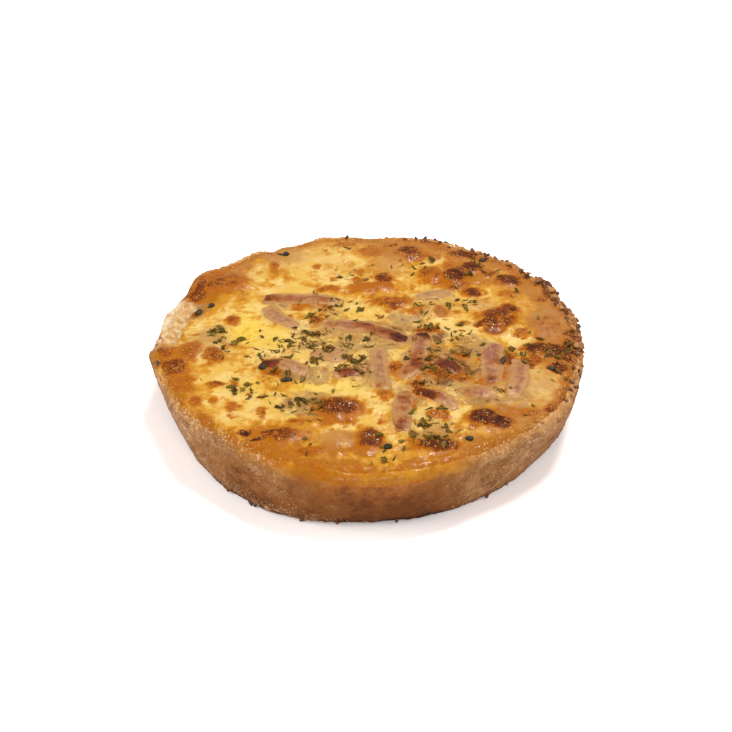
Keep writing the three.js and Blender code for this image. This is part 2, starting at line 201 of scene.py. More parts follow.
# Patches of the wall: direction, height as a share, spread in degrees and in height, browning,
# and flour.
WALL_PATCHES = [
    (271, 0.55, 16, 0.6, 0.46, -0.5), (284, 0.3, 10, 0.3, 0.22, -0.4),
    (236, 0.5, 12, 0.5, 0.44, -0.1), (232, 0.35, 8, 0.35, 0.12, -0.1),
    (226, 0.1, 20, 0.2, 0.3, 0.5), (252, 0.08, 14, 0.16, 0.2, 0.9), (298, 0.3, 7, 0.35, -0.15, 0.9),
    (313, 0.5, 8, 0.4, 0, 0.6), (204, 0.55, 14, 0.5, -0.16, 0.6), (222, 0.85, 10, 0.2, -0.1, 0.5),
    (345, 0.5, 14, 0.5, 0.14, 0.3), (262, 0.45, 5, 0.3, -0.1, 0.1), (246, 0.35, 4, 0.4, -0.14, 0.2),
    (30, 0.5, 24, 0.6, 0.16, 0.2), (75, 0.4, 20, 0.5, 0.26, 0), (120, 0.5, 24, 0.5, 0.08, 0.4),
]
WALL_DOTS = [(266.5, 0.33), (269.5, 0.44)]  # two spots of scorched fat, direction and height
WALL_DOT = (0.55, 0.022, 0.7)  # half sizes of a spot in degrees and in height, and browning
RUN_OVER = [(272, 27, 1), (120, 40, 0.25), (191, 12, 0.5)]  # where cheese has run down the wall
BRIGHTNESS = 2.1  # what a white card on this table gives, against plain white


def linear(red, green, blue):
    """A colour as it looks on this table, 0 to 255, turned into the value that a shader takes."""
    shares = [((c / 255 + 0.055) / 1.055) ** 2.4 / BRIGHTNESS for c in (red, green, blue)]
    return (*shares, 1.0)


GOLDEN_CHEESE = linear(212, 146, 40)
AMBER_CHEESE = linear(178, 108, 18)
BAKED_CHEESE = linear(184, 102, 12)
BROWN_CHEESE = linear(120, 54, 6)
BURNT_CHEESE = linear(66, 24, 12)


def smoothstep(x, low, high):
    """0 below low, 1 above high, and a soft rise between."""
    t = np.clip((np.asarray(x, float) - low) / (high - low), 0, 1)
    return t * t * (3 - 2 * t)


def mix(a, b, share):
    return a + (b - a) * share


def degrees_apart(a, b):
    return (np.asarray(a) - b + 180) % 360 - 180


def bells(degrees, hills):
    """The sum of soft hills round the quiche, each a direction, a spread and a height."""
    return sum(
        up * np.exp(-((degrees_apart(degrees, at) / spread) ** 2)) for at, spread, up in hills)


def grain(points, per_mm, octaves=3, shift=0.0):
    """Fractal noise from about -1 to 1 at each point, with so many bumps to a millimetre."""
    offset = Vector((shift, -shift, 2 * shift))
    return np.array([
        noise.fractal(Vector(p) * per_mm + offset, 0.8, 2.0, octaves) for p in points.tolist()
    ])


def bubbles(points, per_mm):
    """Round-topped bubbles, 1 in the middle of each and 0 between them."""
    near = np.array([noise.voronoi(Vector(p) * per_mm)[0] for p in points.tolist()])
    return np.clip((near[:, 1] - near[:, 0]) * 1.6, 0, 1)


def paint(made, name, red, green, blue=0, alpha=0):
    """Keeps up to four shares on every vertex, for the material to read."""
    layer = made.data.color_attributes.new(name, "FLOAT_COLOR", "POINT")
    values = np.stack([np.broadcast_to(c, red.shape) for c in (red, green, blue, alpha)], axis=-1)
    layer.data.foreach_set("color", values.astype(np.float32).ravel())


def corners_of(made):
    """A mesh's vertices in millimetres."""
    return np.array([v.co for v in made.data.vertices]) * 1000


def shell_sections():
    """The shell's sections: for each direction its points from the underside to the hollow's floor,
    as radius and height in millimetres."""
    corners = np.unique(np.round(corners_of(frame["nodes"]["crust"]), 3), axis=0)
    radius = np.hypot(corners[:, 0], corners[:, 1])
    degrees = np.degrees(np.arctan2(corners[:, 1], corners[:, 0])) % 360
    which = np.round(degrees / SECTION_STEP).astype(int) % (360 // SECTION_STEP)
    found = []
    for k in range(360 // SECTION_STEP):
        here = (which == k) & (radius > 1)
        r, z = radius[here], corners[here, 2]
        pivot = (r[z < 2.5].max() - WALL_BELT, WALL_BELT)
        order = np.argsort(np.arctan2(z - pivot[1], r - pivot[0]))
        found.append(np.stack([r[order], z[order]], axis=-1))
    return np.array(found)


def round_shell(given_sections):
    """The sections carried round in fine steps by a curve through them."""
    count = len(given_sections)
    at = np.arange(ROUND) * count / ROUND
    i, f = at.astype(int), (at % 1)[:, None, None]
    before, here, after, beyond = (given_sections[(i + k) % count] for k in (-1, 0, 1, 2))
    cubic = 3 * (here - after) + beyond - before
    return here + 0.5 * f * (
        after - before + f * (2 * before - 5 * here + 4 * after - beyond + f * cubic))


def round_points(radius, turned, height):
    """Points from their distance, direction in radians and height."""
    return np.stack([radius * np.cos(turned), radius * np.sin(turned), height], axis=-1)


def in_tear(degrees, soft_first, soft_last):
    """1 between the directions of the tear and 0 beyond its two soft ends."""
    return smoothstep(degrees, TEAR[0] - soft_first, TEAR[0] + soft_first) - smoothstep(
        degrees, TEAR[1] - soft_last, TEAR[1] + soft_last)


def with_ends(values):
    """One value for each vertex of the rows, and a plain one for the shell's two middle points."""
    return np.concatenate([values, [0.2, 0.2]])


sections = round_shell(shell_sections())
round_degrees = np.arange(ROUND) * 360 / ROUND
hollow_floor = sections[:, -1:, 1].mean()
low_end, high_end = (np.zeros((ROUND, 1, 2)) + (0, level) for level in (0, hollow_floor))
outline = np.concatenate([low_end, low_end, sections, high_end, high_end], axis=1)
along = [k + np.arange(count) / count for k, count in enumerate(SECTION_ROWS)]
along = np.concatenate(along + [[len(SECTION_ROWS)]])
i = np.minimum(along.astype(int), len(SECTION_ROWS) - 1)
f = (along - i)[None, :, None]
c0, c1, c2, c3 = (outline[:, np.clip(i + k, 0, outline.shape[1] - 1)] for k in (0, 1, 2, 3))
fine = (
    (1 - f) ** 3 * c0 + (3 * f ** 3 - 6 * f ** 2 + 4) * c1
    + (-3 * f ** 3 + 3 * f ** 2 + 3 * f + 1) * c2 + f ** 3 * c3
) / 6
rows = len(along)
shell = round_points(fine[..., 0], np.radians(round_degrees)[:, None], fine[..., 1])
shell = shell.transpose(1, 0, 2)  # rows, then steps round

# How far along the section a vertex lies: 3 is the foot, 4 to 7 the wall, 8 the outside of the
# rim, 10 and 11 its crest, and 13 to 16 the hollow.
row_at = np.broadcast_to(along[:, None], (rows, ROUND)).ravel()
turn_at = np.broadcast_to(round_degrees[None, :], (rows, ROUND)).ravel()
crest_height = sections[:, :, 1].max(axis=1)
height_share = (shell[..., 2] / crest_height[None, :]).ravel()
outwards = np.cross(np.roll(shell, -1, 1) - np.roll(shell, 1, 1), np.gradient(shell, axis=0))
outwards = outwards.reshape(-1, 3)
outwards /= np.linalg.norm(outwards, axis=1, keepdims=True) + 1e-9
smooth_shell = shell.reshape(-1, 3)

in_sight = smoothstep(row_at, 2.2, 3.2) * (1 - smoothstep(row_at, 12.6, 13.0))
rough = grain(smooth_shell, 0.16, 3) * 0.30 + grain(smooth_shell, 0.65, 3, 5) * 0.15
fine_grain = grain(smooth_shell, 1.5, 2, 9)
crumbly = np.clip(bells(turn_at, CRUMBLY), 0, 1) * smoothstep(row_at, 7.2, 8.8) * in_sight
torn = in_tear(turn_at, TEAR_SOFT, TEAR_SOFT)
torn = torn * smoothstep(row_at + 0.5 * fine_grain, 8.0, 8.9) * in_sight
on_rim = smoothstep(row_at, 7.6, 8.8) * in_sight
jag = np.abs(grain(smooth_shell, 0.55, 3, 21)) - 0.30
granular = np.clip(bells(turn_at, GRANULAR), 0, 1) * smoothstep(row_at, 3.0, 5.0) * in_sight
to_foot = np.clip(bells(turn_at, GRANULAR_TO_FOOT), 0.15, 1)
granular = granular * np.maximum(smoothstep(row_at, 5.6, 7.6), to_foot)
depth = rough + (0.05 + 0.10 * granular) * fine_grain
depth = depth + on_rim * (0.05 + 0.36 * granular) * (bubbles(smooth_shell, 0.8) - 0.3)
depth = depth + crumbly * 1.25 * jag
torn_relief = 0.7 * grain(smooth_shell, 0.4, 3, 33) + 0.25 * grain(smooth_shell, 1.0, 2, 34)
depth = depth + torn * (torn_relief - 0.1)
depth = np.minimum(depth, 0.35) - 0.10
spots = smooth_shell + outwards * (depth * in_sight)[:, None]
spots[:, 2] = np.clip(spots[:, 2], 0.0, HIGHEST)

step = np.arange(ROUND)
after = (step + 1) % ROUND
shell_faces = []
for r in range(rows - 1):
    low, high = r * ROUND, (r + 1) * ROUND
    quads = np.stack([low + step, low + after, high + after, high + step], axis=-1)
    shell_faces += quads.tolist()
under, floor = len(spots), len(spots) + 1
top_row = (rows - 1) * ROUND
for middle, first, second in ((under, after, step), (floor, top_row + step, top_row + after)):
    shell_faces += np.stack([np.full(ROUND, middle), first, second], axis=-1).tolist()
spots = np.concatenate([spots, [(0, 0, 0), (0, 0, hollow_floor)]])
pastry_shell = new_mesh_object("pastry_shell", spots, shell_faces)

# The baking: cheese over the rim, browning of the rim and the wall, flour, and a painted shade
# along the foot.
drip = 0.9 * grain(smooth_shell * (1, 1, 0.4), 0.10, 3, 3) + 0.2 * grain(smooth_shell, 0.5, 3, 4)
front = np.clip(bells(turn_at, RUN_OVER), 0, 1)
cheese = smoothstep(row_at + 1.4 * drip, mix(7.9, 5.6, front), mix(10.6, 9.2, front)) * (1 - torn)
rim_bake = RIM_EVENLY + bells(turn_at, RIM_BROWNED) + 0.30 * grain(smooth_shell, 0.16, 3, 7)
rim_bake = rim_bake - 0.22 * granular
shoulder = granular * smoothstep(row_at, 5.5, 8.0)
wall_bake = 0.20 + 0.26 * grain(smooth_shell, 0.11, 4, 13) + 0.12 * grain(smooth_shell, 0.5, 3, 14)
wall_bake = wall_bake - 0.22 * granular - 0.35 * shoulder
flour = 0.02 + 0.50 * grain(smooth_shell, 0.12, 3, 17) + 0.42 * granular + 0.3 * shoulder
for at, level, spread, tall, browner, flourier in WALL_PATCHES:
    far = (degrees_apart(turn_at, at) / spread) ** 2 + ((height_share - level) / tall) ** 2
    wall_bake = wall_bake + browner * np.exp(-far)
    flour = flour + flourier * np.exp(-far)
for at, level in WALL_DOTS:
    far = np.hypot(degrees_apart(turn_at, at) / WALL_DOT[0], (height_share - level) / WALL_DOT[1])
    wall_bake = wall_bake + WALL_DOT[2] * np.exp(-far ** 2) * (row_at > 3) * (row_at < 8)
# The foot: browned, and darkened further as a painted contact shade where the wall meets the table.
foot_bake_and_shade = 1 - smoothstep(height_share + 0.04 * grain(smooth_shell, 0.3, 3, 19), 0.0, 0.15)
foot_bake_and_shade = foot_bake_and_shade * smoothstep(row_at, 2.2, 2.9)
bake = np.minimum(mix(wall_bake, rim_bake, cheese ** 2), 0.70)
bake = bake + 0.26 * crumbly * smoothstep(jag, 0.0, 0.35) + 0.9 * foot_bake_and_shade
bake = np.clip(bake, 0, 1.0) * (1 - 0.9 * torn)
tan_here = bells(turn_at, TAN_RIM) * (0.8 + 0.6 * grain(smooth_shell, 0.16, 3, 66))
paint(pastry_shell, "baked", *map(with_ends, (bake, np.clip(flour, 0, 1), torn, cheese)))
paint(pastry_shell, "tinted", *map(with_ends, (np.clip(tan_here, 0, 1), np.clip(granular, 0, 1))))


def new_group(name, inputs, outputs):
    """A shader node group with named sockets; gives the group, its inputs and its way out."""
    group = bpy.data.node_groups.new(name, "ShaderNodeTree")
    for label, kind, value in inputs:
        socket = group.interface.new_socket(label, in_out="INPUT", socket_type=kind)
        socket.default_value = value
    for label, kind in outputs:
        group.interface.new_socket(label, in_out="OUTPUT", socket_type=kind)
    given_in, way_out = (group.nodes.new(kind) for kind in ("NodeGroupInput", "NodeGroupOutput"))
    return group, given_in.outputs, way_out.inputs


def use_group(tree, group, inputs):
    return add_node(tree, "ShaderNodeGroup", inputs, node_tree=group).outputs


def calc(tree, operation, *values):
    """A Math node's result."""
    return add_node(tree, "ShaderNodeMath", dict(enumerate(values)), operation=operation).outputs[0]


def times(tree, first, second):
    return calc(tree, "MULTIPLY", first, second)


def rise(tree, value, low, high, bottom=0.0, top=1.0):
    """A soft rise from bottom to top while the value goes from low to high."""
    ends = {"Value": value, "From Min": low, "From Max": high, "To Min": bottom, "To Max": top}
    return add_node(tree, "ShaderNodeMapRange", ends, interpolation_type="SMOOTHSTEP").outputs[0]


def tint(tree, share, first, second):
    """The first colour turned into the second by a share."""
    node = add_node(tree, "ShaderNodeMix", {0: share, 6: first, 7: second}, data_type="RGBA")
    return node.outputs[2]


def shares_of(tree, name):
    """The four shares that paint has kept on the mesh."""
    shares = add_node(tree, "ShaderNodeAttribute", attribute_name=name).outputs
    split = add_node(tree, "ShaderNodeSeparateColor", {"Color": shares["Color"]}).outputs
    return split[0], split[1], split[2], shares["Alpha"]


def object_place(tree):
    return add_node(tree, "ShaderNodeTexCoord").outputs["Object"]


def object_noise(tree, scale, detail=3.0, roughness=0.6, place=None):
    """Noise from 0 to 1 on Object coordinates, with scale in features to a metre."""
    place = place or object_place(tree)
    shape = {"Vector": place, "Scale": scale, "Detail": detail, "Roughness": roughness}
    return add_node(tree, "ShaderNodeTexNoise", shape).outputs["Fac"]


def patches(tree, noise_shape, low, high, bottom=0.0, top=1.0):
    """Soft-edged patches: object noise of a scale and detail, taken between two levels."""
    return rise(tree, object_noise(tree, *noise_shape), low, high, bottom, top)


def object_cells(tree, scale):
    return add_node(
        tree, "ShaderNodeTexVoronoi", {"Vector": object_place(tree), "Scale": scale}).outputs


def dress(tree, shader, fed, bumps, strength, distance):
    """Feeds a shader's sockets, and its normal with bumps whose depth is in metres."""
    relief = {"Height": bumps, "Strength": strength, "Distance": distance}
    bump = add_node(tree, "ShaderNodeBump", relief).outputs["Normal"]
    for socket, value in {**fed, "Normal": bump}.items():
        tree.links.new(value, shader.inputs[socket])


# Browning: what the oven does to any of the foods here, from untouched through two bakes to char.
browning, given, result = new_group(
    "Browning",
    [("Raw", "NodeSocketColor", (1, 1, 1, 1)), ("Light Bake", "NodeSocketColor", (1, 1, 1, 1)),
     ("Dark Bake", "NodeSocketColor", (1, 1, 1, 1)), ("Char", "NodeSocketColor", (0, 0, 0, 1)),
     ("Amount", "NodeSocketFloat", 0.0), ("Mottle", "NodeSocketFloat", 0.3)],
    [("Color", "NodeSocketColor")],
)
coarse = calc(browning, "SUBTRACT", object_noise(browning, 420), 0.5)
small = calc(browning, "SUBTRACT", object_noise(browning, 2300, 2), 0.5)
mottle = times(browning, calc(browning, "MULTIPLY_ADD", small, 1.4, coarse), given["Mottle"])
mottle = times(browning, mottle, rise(browning, given["Amount"], 0.02, 0.35))
how_far = calc(browning, "MULTIPLY_ADD", mottle, 2.0, given["Amount"])
browned = tint(browning, rise(browning, how_far, 0.06, 0.40), given["Raw"], given["Light Bake"])
browned = tint(browning, rise(browning, how_far, 0.40, 0.74), browned, given["Dark Bake"])
browned = tint(browning, rise(browning, how_far, 0.78, 1.08), browned, given["Char"])
browning.links.new(browned, result["Color"])

# Blistering: the fine bubbles that rise and set where cheese browns.
blistering, given, result = new_group(
    "Blistering",
    [("Amount", "NodeSocketFloat", 0.0), ("Size", "NodeSocketFloat", 900.0)],
    [("Height", "NodeSocketFloat"), ("Crests", "NodeSocketFloat")],
)
big_cells = object_cells(blistering, given["Size"])["Distance"]
small_size = times(blistering, given["Size"], 2.3)
small_cells = object_cells(blistering, small_size)["Distance"]
domes = calc(blistering, "SUBTRACT", 1.0, calc(blistering, "POWER", big_cells, 2.0))
small_domes = calc(blistering, "SUBTRACT", 1.0, calc(blistering, "POWER", small_cells, 1.5))
height = calc(blistering, "MULTIPLY_ADD", small_domes, 0.45, domes)
blistering.links.new(times(blistering, height, given["Amount"]), result["Height"])
blistering.links.new(rise(blistering, height, 0.9, 1.4), result["Crests"])

# Granules: the pale grains of flour and crumb that stand on baked pastry.
granules, given, result = new_group(
    "Granules",
    [("Size", "NodeSocketFloat", 1500.0), ("Cover", "NodeSocketFloat", 0.5)],
    [("Mask", "NodeSocketFloat"), ("Height", "NodeSocketFloat")],
)
cells = object_cells(granules, given["Size"])
pick = add_node(granules, "ShaderNodeSeparateColor", {"Color": cells["Color"]}).outputs[0]
patchy = patches(granules, (260, 3), 0.36, 0.62, 0.15, 1.3)
chosen = calc(granules, "LESS_THAN", pick, times(granules, given["Cover"], patchy))
dot = rise(granules, cells["Distance"], 0.52, 0.22)
mask = times(granules, dot, chosen)
granules.links.new(mask, result["Mask"])
granules.links.new(times(granules, mask, dot), result["Height"])

pastry, tree, shader = new_material(
    "baked shortcrust and browned rim",
    {"Specular IOR Level": 0.06, "Coat Roughness": 0.16, "Subsurface Weight": 0.06,
     "Subsurface Scale": 0.001, "Subsurface Radius": (1.0, 0.6, 0.3)})
baked, floury, torn_away, cheesy = shares_of(tree, "baked")
tan, grained, _, _ = shares_of(tree, "tinted")
dry = calc(tree, "SUBTRACT", 1.0, cheesy)
uneven_dough = patches(tree, (150, 6, 0.7), 0.32, 0.68)
dough = tint(tree, uneven_dough, linear(130, 78, 38), linear(180, 128, 77))
golden = patches(tree, (120, 5, 0.65), 0.38, 0.66)
raw = tint(tree, cheesy, dough, tint(tree, golden, AMBER_CHEESE, GOLDEN_CHEESE))
raw = tint(tree, times(tree, tan, cheesy), raw, linear(212, 162, 108))
dry_bake = tint(tree, grained, linear(144, 88, 42), linear(184, 128, 74))
tan_bake = tint(tree, tan, BAKED_CHEESE, linear(186, 128, 76))
done = use_group(tree, browning, {
    "Raw": raw, "Light Bake": tint(tree, cheesy, dry_bake, tan_bake),
    "Dark Bake": tint(tree, cheesy, linear(116, 64, 28), BROWN_CHEESE),
    "Char": tint(tree, cheesy, linear(66, 36, 14), BURNT_CHEESE), "Amount": baked, "Mottle": 0.34})
# Flour: small and large grains of it, smears, and slanting scratches where it was handled.
grains = use_group(tree, granules, {"Size": 1900.0, "Cover": floury})
large_grains = use_group(tree, granules, {"Size": 1050.0, "Cover": times(tree, floury, 0.4)})
dust = times(tree, calc(tree, "MAXIMUM", grains["Mask"], large_grains["Mask"]), 0.75)
smear = times(tree, patches(tree, (330, 6, 0.75), 0.50, 0.66), rise(tree, floury, 0.25, 0.9))
slanted = add_node(tree, "ShaderNodeMapping", {
    "Vector": object_place(tree), "Rotation": (0, 0.5, 0), "Scale": (0.4, 0.6, 1.8)})
scratches = patches(tree, (700, 4, 0.7, slanted.outputs[0]), 0.54, 0.64)
scratches = times(tree, scratches, rise(tree, floury, 0.4, 0.9, 0.0, 0.9))
dust = calc(tree, "MAXIMUM", dust, calc(tree, "MAXIMUM", smear, scratches))
# On the cheese of the rim the grains are tinted pale gold: real grains, and painted glints on them.
cheese_glints = calc(tree, "MULTIPLY_ADD", grained, 0.8, 0.45)
dust = times(tree, dust, calc(tree, "MAXIMUM", cheese_glints, dry))
dust_and_glint_colour = tint(tree, cheesy, linear(222, 172, 116), linear(238, 180, 102))
colour = tint(tree, dust, done["Color"], dust_and_glint_colour)
pits = patches(tree, (900, 3, 0.7), 0.40, 0.30)
pitted = times(tree, pits, calc(tree, "MAXIMUM", dry, times(tree, grained, 1.2)))
colour = tint(tree, times(tree, pitted, 0.45), colour, linear(112, 62, 28))
crumb = tint(tree, patches(tree, (300, 4), 0.32, 0.6), linear(222, 168, 108), linear(246, 222, 190))
colour = tint(tree, torn_away, colour, crumb)
gloss = patches(tree, (500, 2), 0.3, 0.7, 0.26, 0.46)
gloss = add_node(tree, "ShaderNodeMix", {0: cheesy, 2: 0.7, 3: gloss}).outputs[0]
greasy = patches(tree, (380, 4), 0.45, 0.65, 0.03, 0.35)
wet = calc(tree, "MULTIPLY_ADD", grained, 0.6, 0.5)
greasy = calc(tree, "MULTIPLY_ADD", grains["Mask"], wet, greasy)
greasy = times(tree, greasy, calc(tree, "MAXIMUM", cheesy, times(tree, floury, 0.5)))
blistered = calc(tree, "MULTIPLY_ADD", floury, 0.35, 0.25)
blisters = use_group(tree, blistering, {"Amount": blistered, "Size": 1500.0})
grains_on_rim = times(tree, grains["Height"], grained)
wet_grains = calc(tree, "MULTIPLY_ADD", grains_on_rim, 2.2, blisters["Height"])
bumps = calc(tree, "ADD", grains["Height"], times(tree, large_grains["Height"], 1.6))
bumps = calc(tree, "MULTIPLY_ADD", object_noise(tree, 1500, 5, 0.7), 1.3, bumps)
bumps = calc(tree, "MULTIPLY_ADD", bumps, dry, times(tree, wet_grains, cheesy))
looks = {"Base Color": colour, "Roughness": gloss, "Coat Weight": greasy}
dress(tree, shader, looks, bumps, 0.8, 0.00022)
pastry_shell.data.materials.append(pastry)
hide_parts("crust")
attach(pastry_shell, "root")

# ---- The filling ----
# Egg and cream set with cheese, moist and pale in the middle, golden towards the rim. The cheese
# has blistered and browned in spots; onion and ham under the skin lift it into soft lumps, and it
# has set up against every strip of ham and a little over its edges.
SKIN_STEPS = 286  # squares across the skin
SKIN_LEVEL = 21.1
DOME = 0.9
OVERLAP = 2.1  # how far the skin runs out over the pastry's crest
# Blisters and spots: place, half sizes, rise, and how far they have browned.
BLISTERS = [
    (-8.6, -34.6, 7, 5, 1.3, 0.8), (0.6, -49.2, 3.9, 4.9, 1.2, 0.8),
    (32.4, -39, 4.6, 3.4, 1.2, 0.96), (37.6, -41.2, 3.8, 2.6, 0.8, 0.98),
    (19.1, -52, 6.4, 2.6, 1, 0.9), (40.4, 13, 5.6, 5.8, 1.8, 0.7), (36, 9.6, 4, 2, 0.4, 0.86),
    (43.6, 17.5, 2.8, 3.2, 0.4, 0.84), (7.2, 21.6, 6.8, 3.8, 1.3, 0.46),
    (7, 19.6, 4.4, 1.8, 0.3, 0.62), (-1, 31, 5.6, 2.8, 0.9, 0.36), (4.5, 31.6, 4, 3, 0.6, 0.42),
    (5.2, 36.6, 2.6, 3.6, 0.5, 0.74), (20.3, 39, 3.8, 4, 1.2, 0.54),
    (27.8, 37.5, 4.2, 4.6, 1.4, 0.92), (33.6, 42.6, 4.4, 3.2, 1, 0.88),
    (26.6, 44.6, 2.6, 3, 0.3, 0.44), (31, 51.2, 5.4, 3.4, 1.2, 0.86),
    (13.4, 52.6, 4.2, 3.8, 0.9, 0.78), (44.8, 34.8, 4.5, 3.6, 1.1, 0.88),
    (44.4, 27, 3.2, 1.9, 0.4, 0.36), (51, -4.1, 4.4, 3.6, 1, 0.88), (-46, 34, 7.8, 6.6, 1.2, 0.52),
    (-48.5, 32, 3.4, 3, 0.3, 0.62), (-24.5, -47.4, 5.4, 3, 0.9, 0.64),
    (-27.5, -46, 3, 1.2, 0.2, 0.86), (32.6, 28.4, 2.8, 2.8, 0.5, 0.86),
    (1, 53.6, 3.9, 3.4, 0.3, 0.42), (60.4, -3, 3, 5, 0.2, 0.92), (56.2, -13.8, 3.4, 3.8, 0.3, 0.84),
    (56.8, 28, 3, 4, 0.3, 0.66), (-30.2, 42.8, 1.5, 3, 0.3, 0.5), (-16.9, 44, 1.3, 2, 0.2, 0.42),
    (-41.6, 12, 2.4, 3, 0.4, 0.5), (-52.8, -5.4, 3.3, 4.8, 0.6, 0.5),
    (-45.6, -8.6, 3.3, 4.3, 0.6, 0.52), (-12.2, 30.2, 4, 2.2, 0.4, 0.48),
    (-39.2, -33.4, 1.9, 2.3, 0.3, 0.42), (-30.2, -37, 1.9, 3, 0.3, 0.44),
    (-34.4, -46, 2.4, 1, 0.2, 0.98), (-30.6, -48.6, 2.6, 0.9, 0.2, 1),
    (-60.5, -4.5, 3.4, 3.6, 0.3, 0.52), (-57.4, -13.6, 4.6, 4.4, 0.2, 0.7),
    (-54, 29.4, 3.2, 5.2, 0.2, 0.72), (8.4, -14.6, 2.6, 3.8, 0.4, 0.54),
    (20, -37.4, 4, 2, 0.3, 0.46), (-44.2, -22.8, 3.2, 1.4, 0.3, 0.56),
    (52, -34.2, 1.8, 2.8, 0.2, 0.6), (22.4, 16.4, 2.2, 2.4, 0.4, 0.46),
    (37.9, -50.4, 2.4, 2, 0.2, 0.5), (-27, -14.4, 5.2, 3.4, 0.5, 0.56),
    (23, -15, 7.5, 6.5, 0.8, 0.12), (19, -10, 2.6, 2.2, 0.3, 0.5), (27, -20, 3.4, 2.4, 0.3, 0.62),
    (27.5, -8, 2.4, 1.8, 0.3, 0.5), (20.5, 50, 3, 2.4, 0.3, 0.4), (38.5, 39, 3, 2.6, 0.4, 0.6),
    (25, 54.5, 3, 1.8, 0.2, 0.5), (38, 51, 3.4, 1.8, 0.2, 0.5), (54.5, 24.6, 3, 2.4, 0.3, 0.56),
    (50.5, 37.5, 2, 2.4, 0.2, 0.5), (46.5, 6, 2.6, 1.8, 0.3, 0.46), (8, 57.6, 3, 1.6, 0.1, 0.5),
    (-8, 58, 4, 1.5, 0.1, 0.44), (57, -26, 2, 3, 0.2, 0.6), (46, -36, 3, 2, 0.2, 0.46),
    (-20.6, -41.6, 2.4, 1.2, 0.2, 0.5), (49.6, -44.4, 2.6, 1.8, 0.2, 0.52),
    (-49.6, -30.6, 1.8, 2.6, 0.2, 0.44), (15.6, -27, 3.2, 2.6, 0.2, 0.84),
    (18.6, 7.4, 3, 2, 0.2, 0.82), (42, -10, 2.4, 3.6, 0.2, 0.6), (28, 32.4, 4.4, 2.8, 0.4, 0.5),
    (38.4, 6.6, 3.8, 2.6, 0.2, 0.6), (49.4, -10, 3, 2.6, 0.2, 0.62),
    (-15.6, 12.4, 2.2, 1.8, 0.2, 0.72), (-54, 20, 2.2, 3.2, 0.2, 0.5), (15, 50, 4.4, 3, 0.3, 0.56),
    (-8, -40.4, 5, 2.2, 0.2, 0.42), (-53.4, -22, 3.4, 4.4, 0.2, 0.44),
    (15, 17, 3.6, 2.2, 0.3, 0.36), (5, -27, 2, 3.6, 0.2, 0.4), (39.4, -17, 2.6, 3.4, 0.2, 0.4),
    (21, 35, 4.4, 2.6, 0.3, 0.4), (-16, -54.4, 4.4, 1.8, 0.1, 0.46), (-21, 20, 3.6, 1.8, 0.2, 0.4),
    (-12.6, 20, 2.8, 2.2, 0.2, 0.52), (-3, 36, 2.6, 1.6, 0.2, 0.46),
    (-33, -52.4, 4, 1.8, 0.1, 0.42), (30, 11, 2, 1.4, 0.2, 0.36), (-3, 41.4, 1.6, 1, 0.1, 0.3),
    (12, -33.5, 2.2, 3, 0.2, 0.36), (14.2, -23, 2, 2.2, 0.3, 0.8), (55, 8, 5, 6, 0, 0.4),
    (59.5, -9, 2.6, 3, 0.1, 0.8), (39, -36, 5, 3, 0.1, 0.3), (47, -12, 3, 3.4, 0.1, 0.64),
    (34, -22, 3, 3, 0.1, 0.42), (21, -18, 4, 3, 0.3, 0.66), (16, 7, 2.4, 1.8, 0.2, 0.6),
    (61, 5, 2, 3, 0.1, 0.7), (56, -5.5, 4.4, 3.4, 0.4, 0.84), (57.5, 33, 2.4, 2.6, 0.1, 0.6),
]
# Lumps of onion under the skin, and hollows in it: place, half sizes, rise, and how beige they are.
SOFT_LUMPS = [
    (56, 11, 5.6, 7, 1.3, 1.1), (-49, -1.5, 6.5, 6, 1.1, 0.6), (21, 19, 5.5, 4.5, 0.9, 0.7),
    (-9, -49, 5, 3.6, 0.8, 0.8), (35, -25, 5.4, 3.4, 0.9, 0.6), (6.5, 44.5, 5.6, 6, 0.2, 0.8),
    (-9, 44, 6, 4, 0.2, 0.35), (34.4, 21.5, 5, 3, 0.2, 0.8), (12, 8, 9, 5, -0.9, 0),
    (-36, 2, 9, 7, -0.8, 0), (-8, -22, 7, 5, -0.7, 0), (44, 1.5, 6, 4, -0.7, 0),
    (-28, 52, 6, 6, 0.1, 0.7), (47, -22, 6, 8, 0.1, 0.4), (24, 3, 4, 3, 0.1, 0.3),
    (-48, 5, 4, 5, 0.1, 0.7),
]
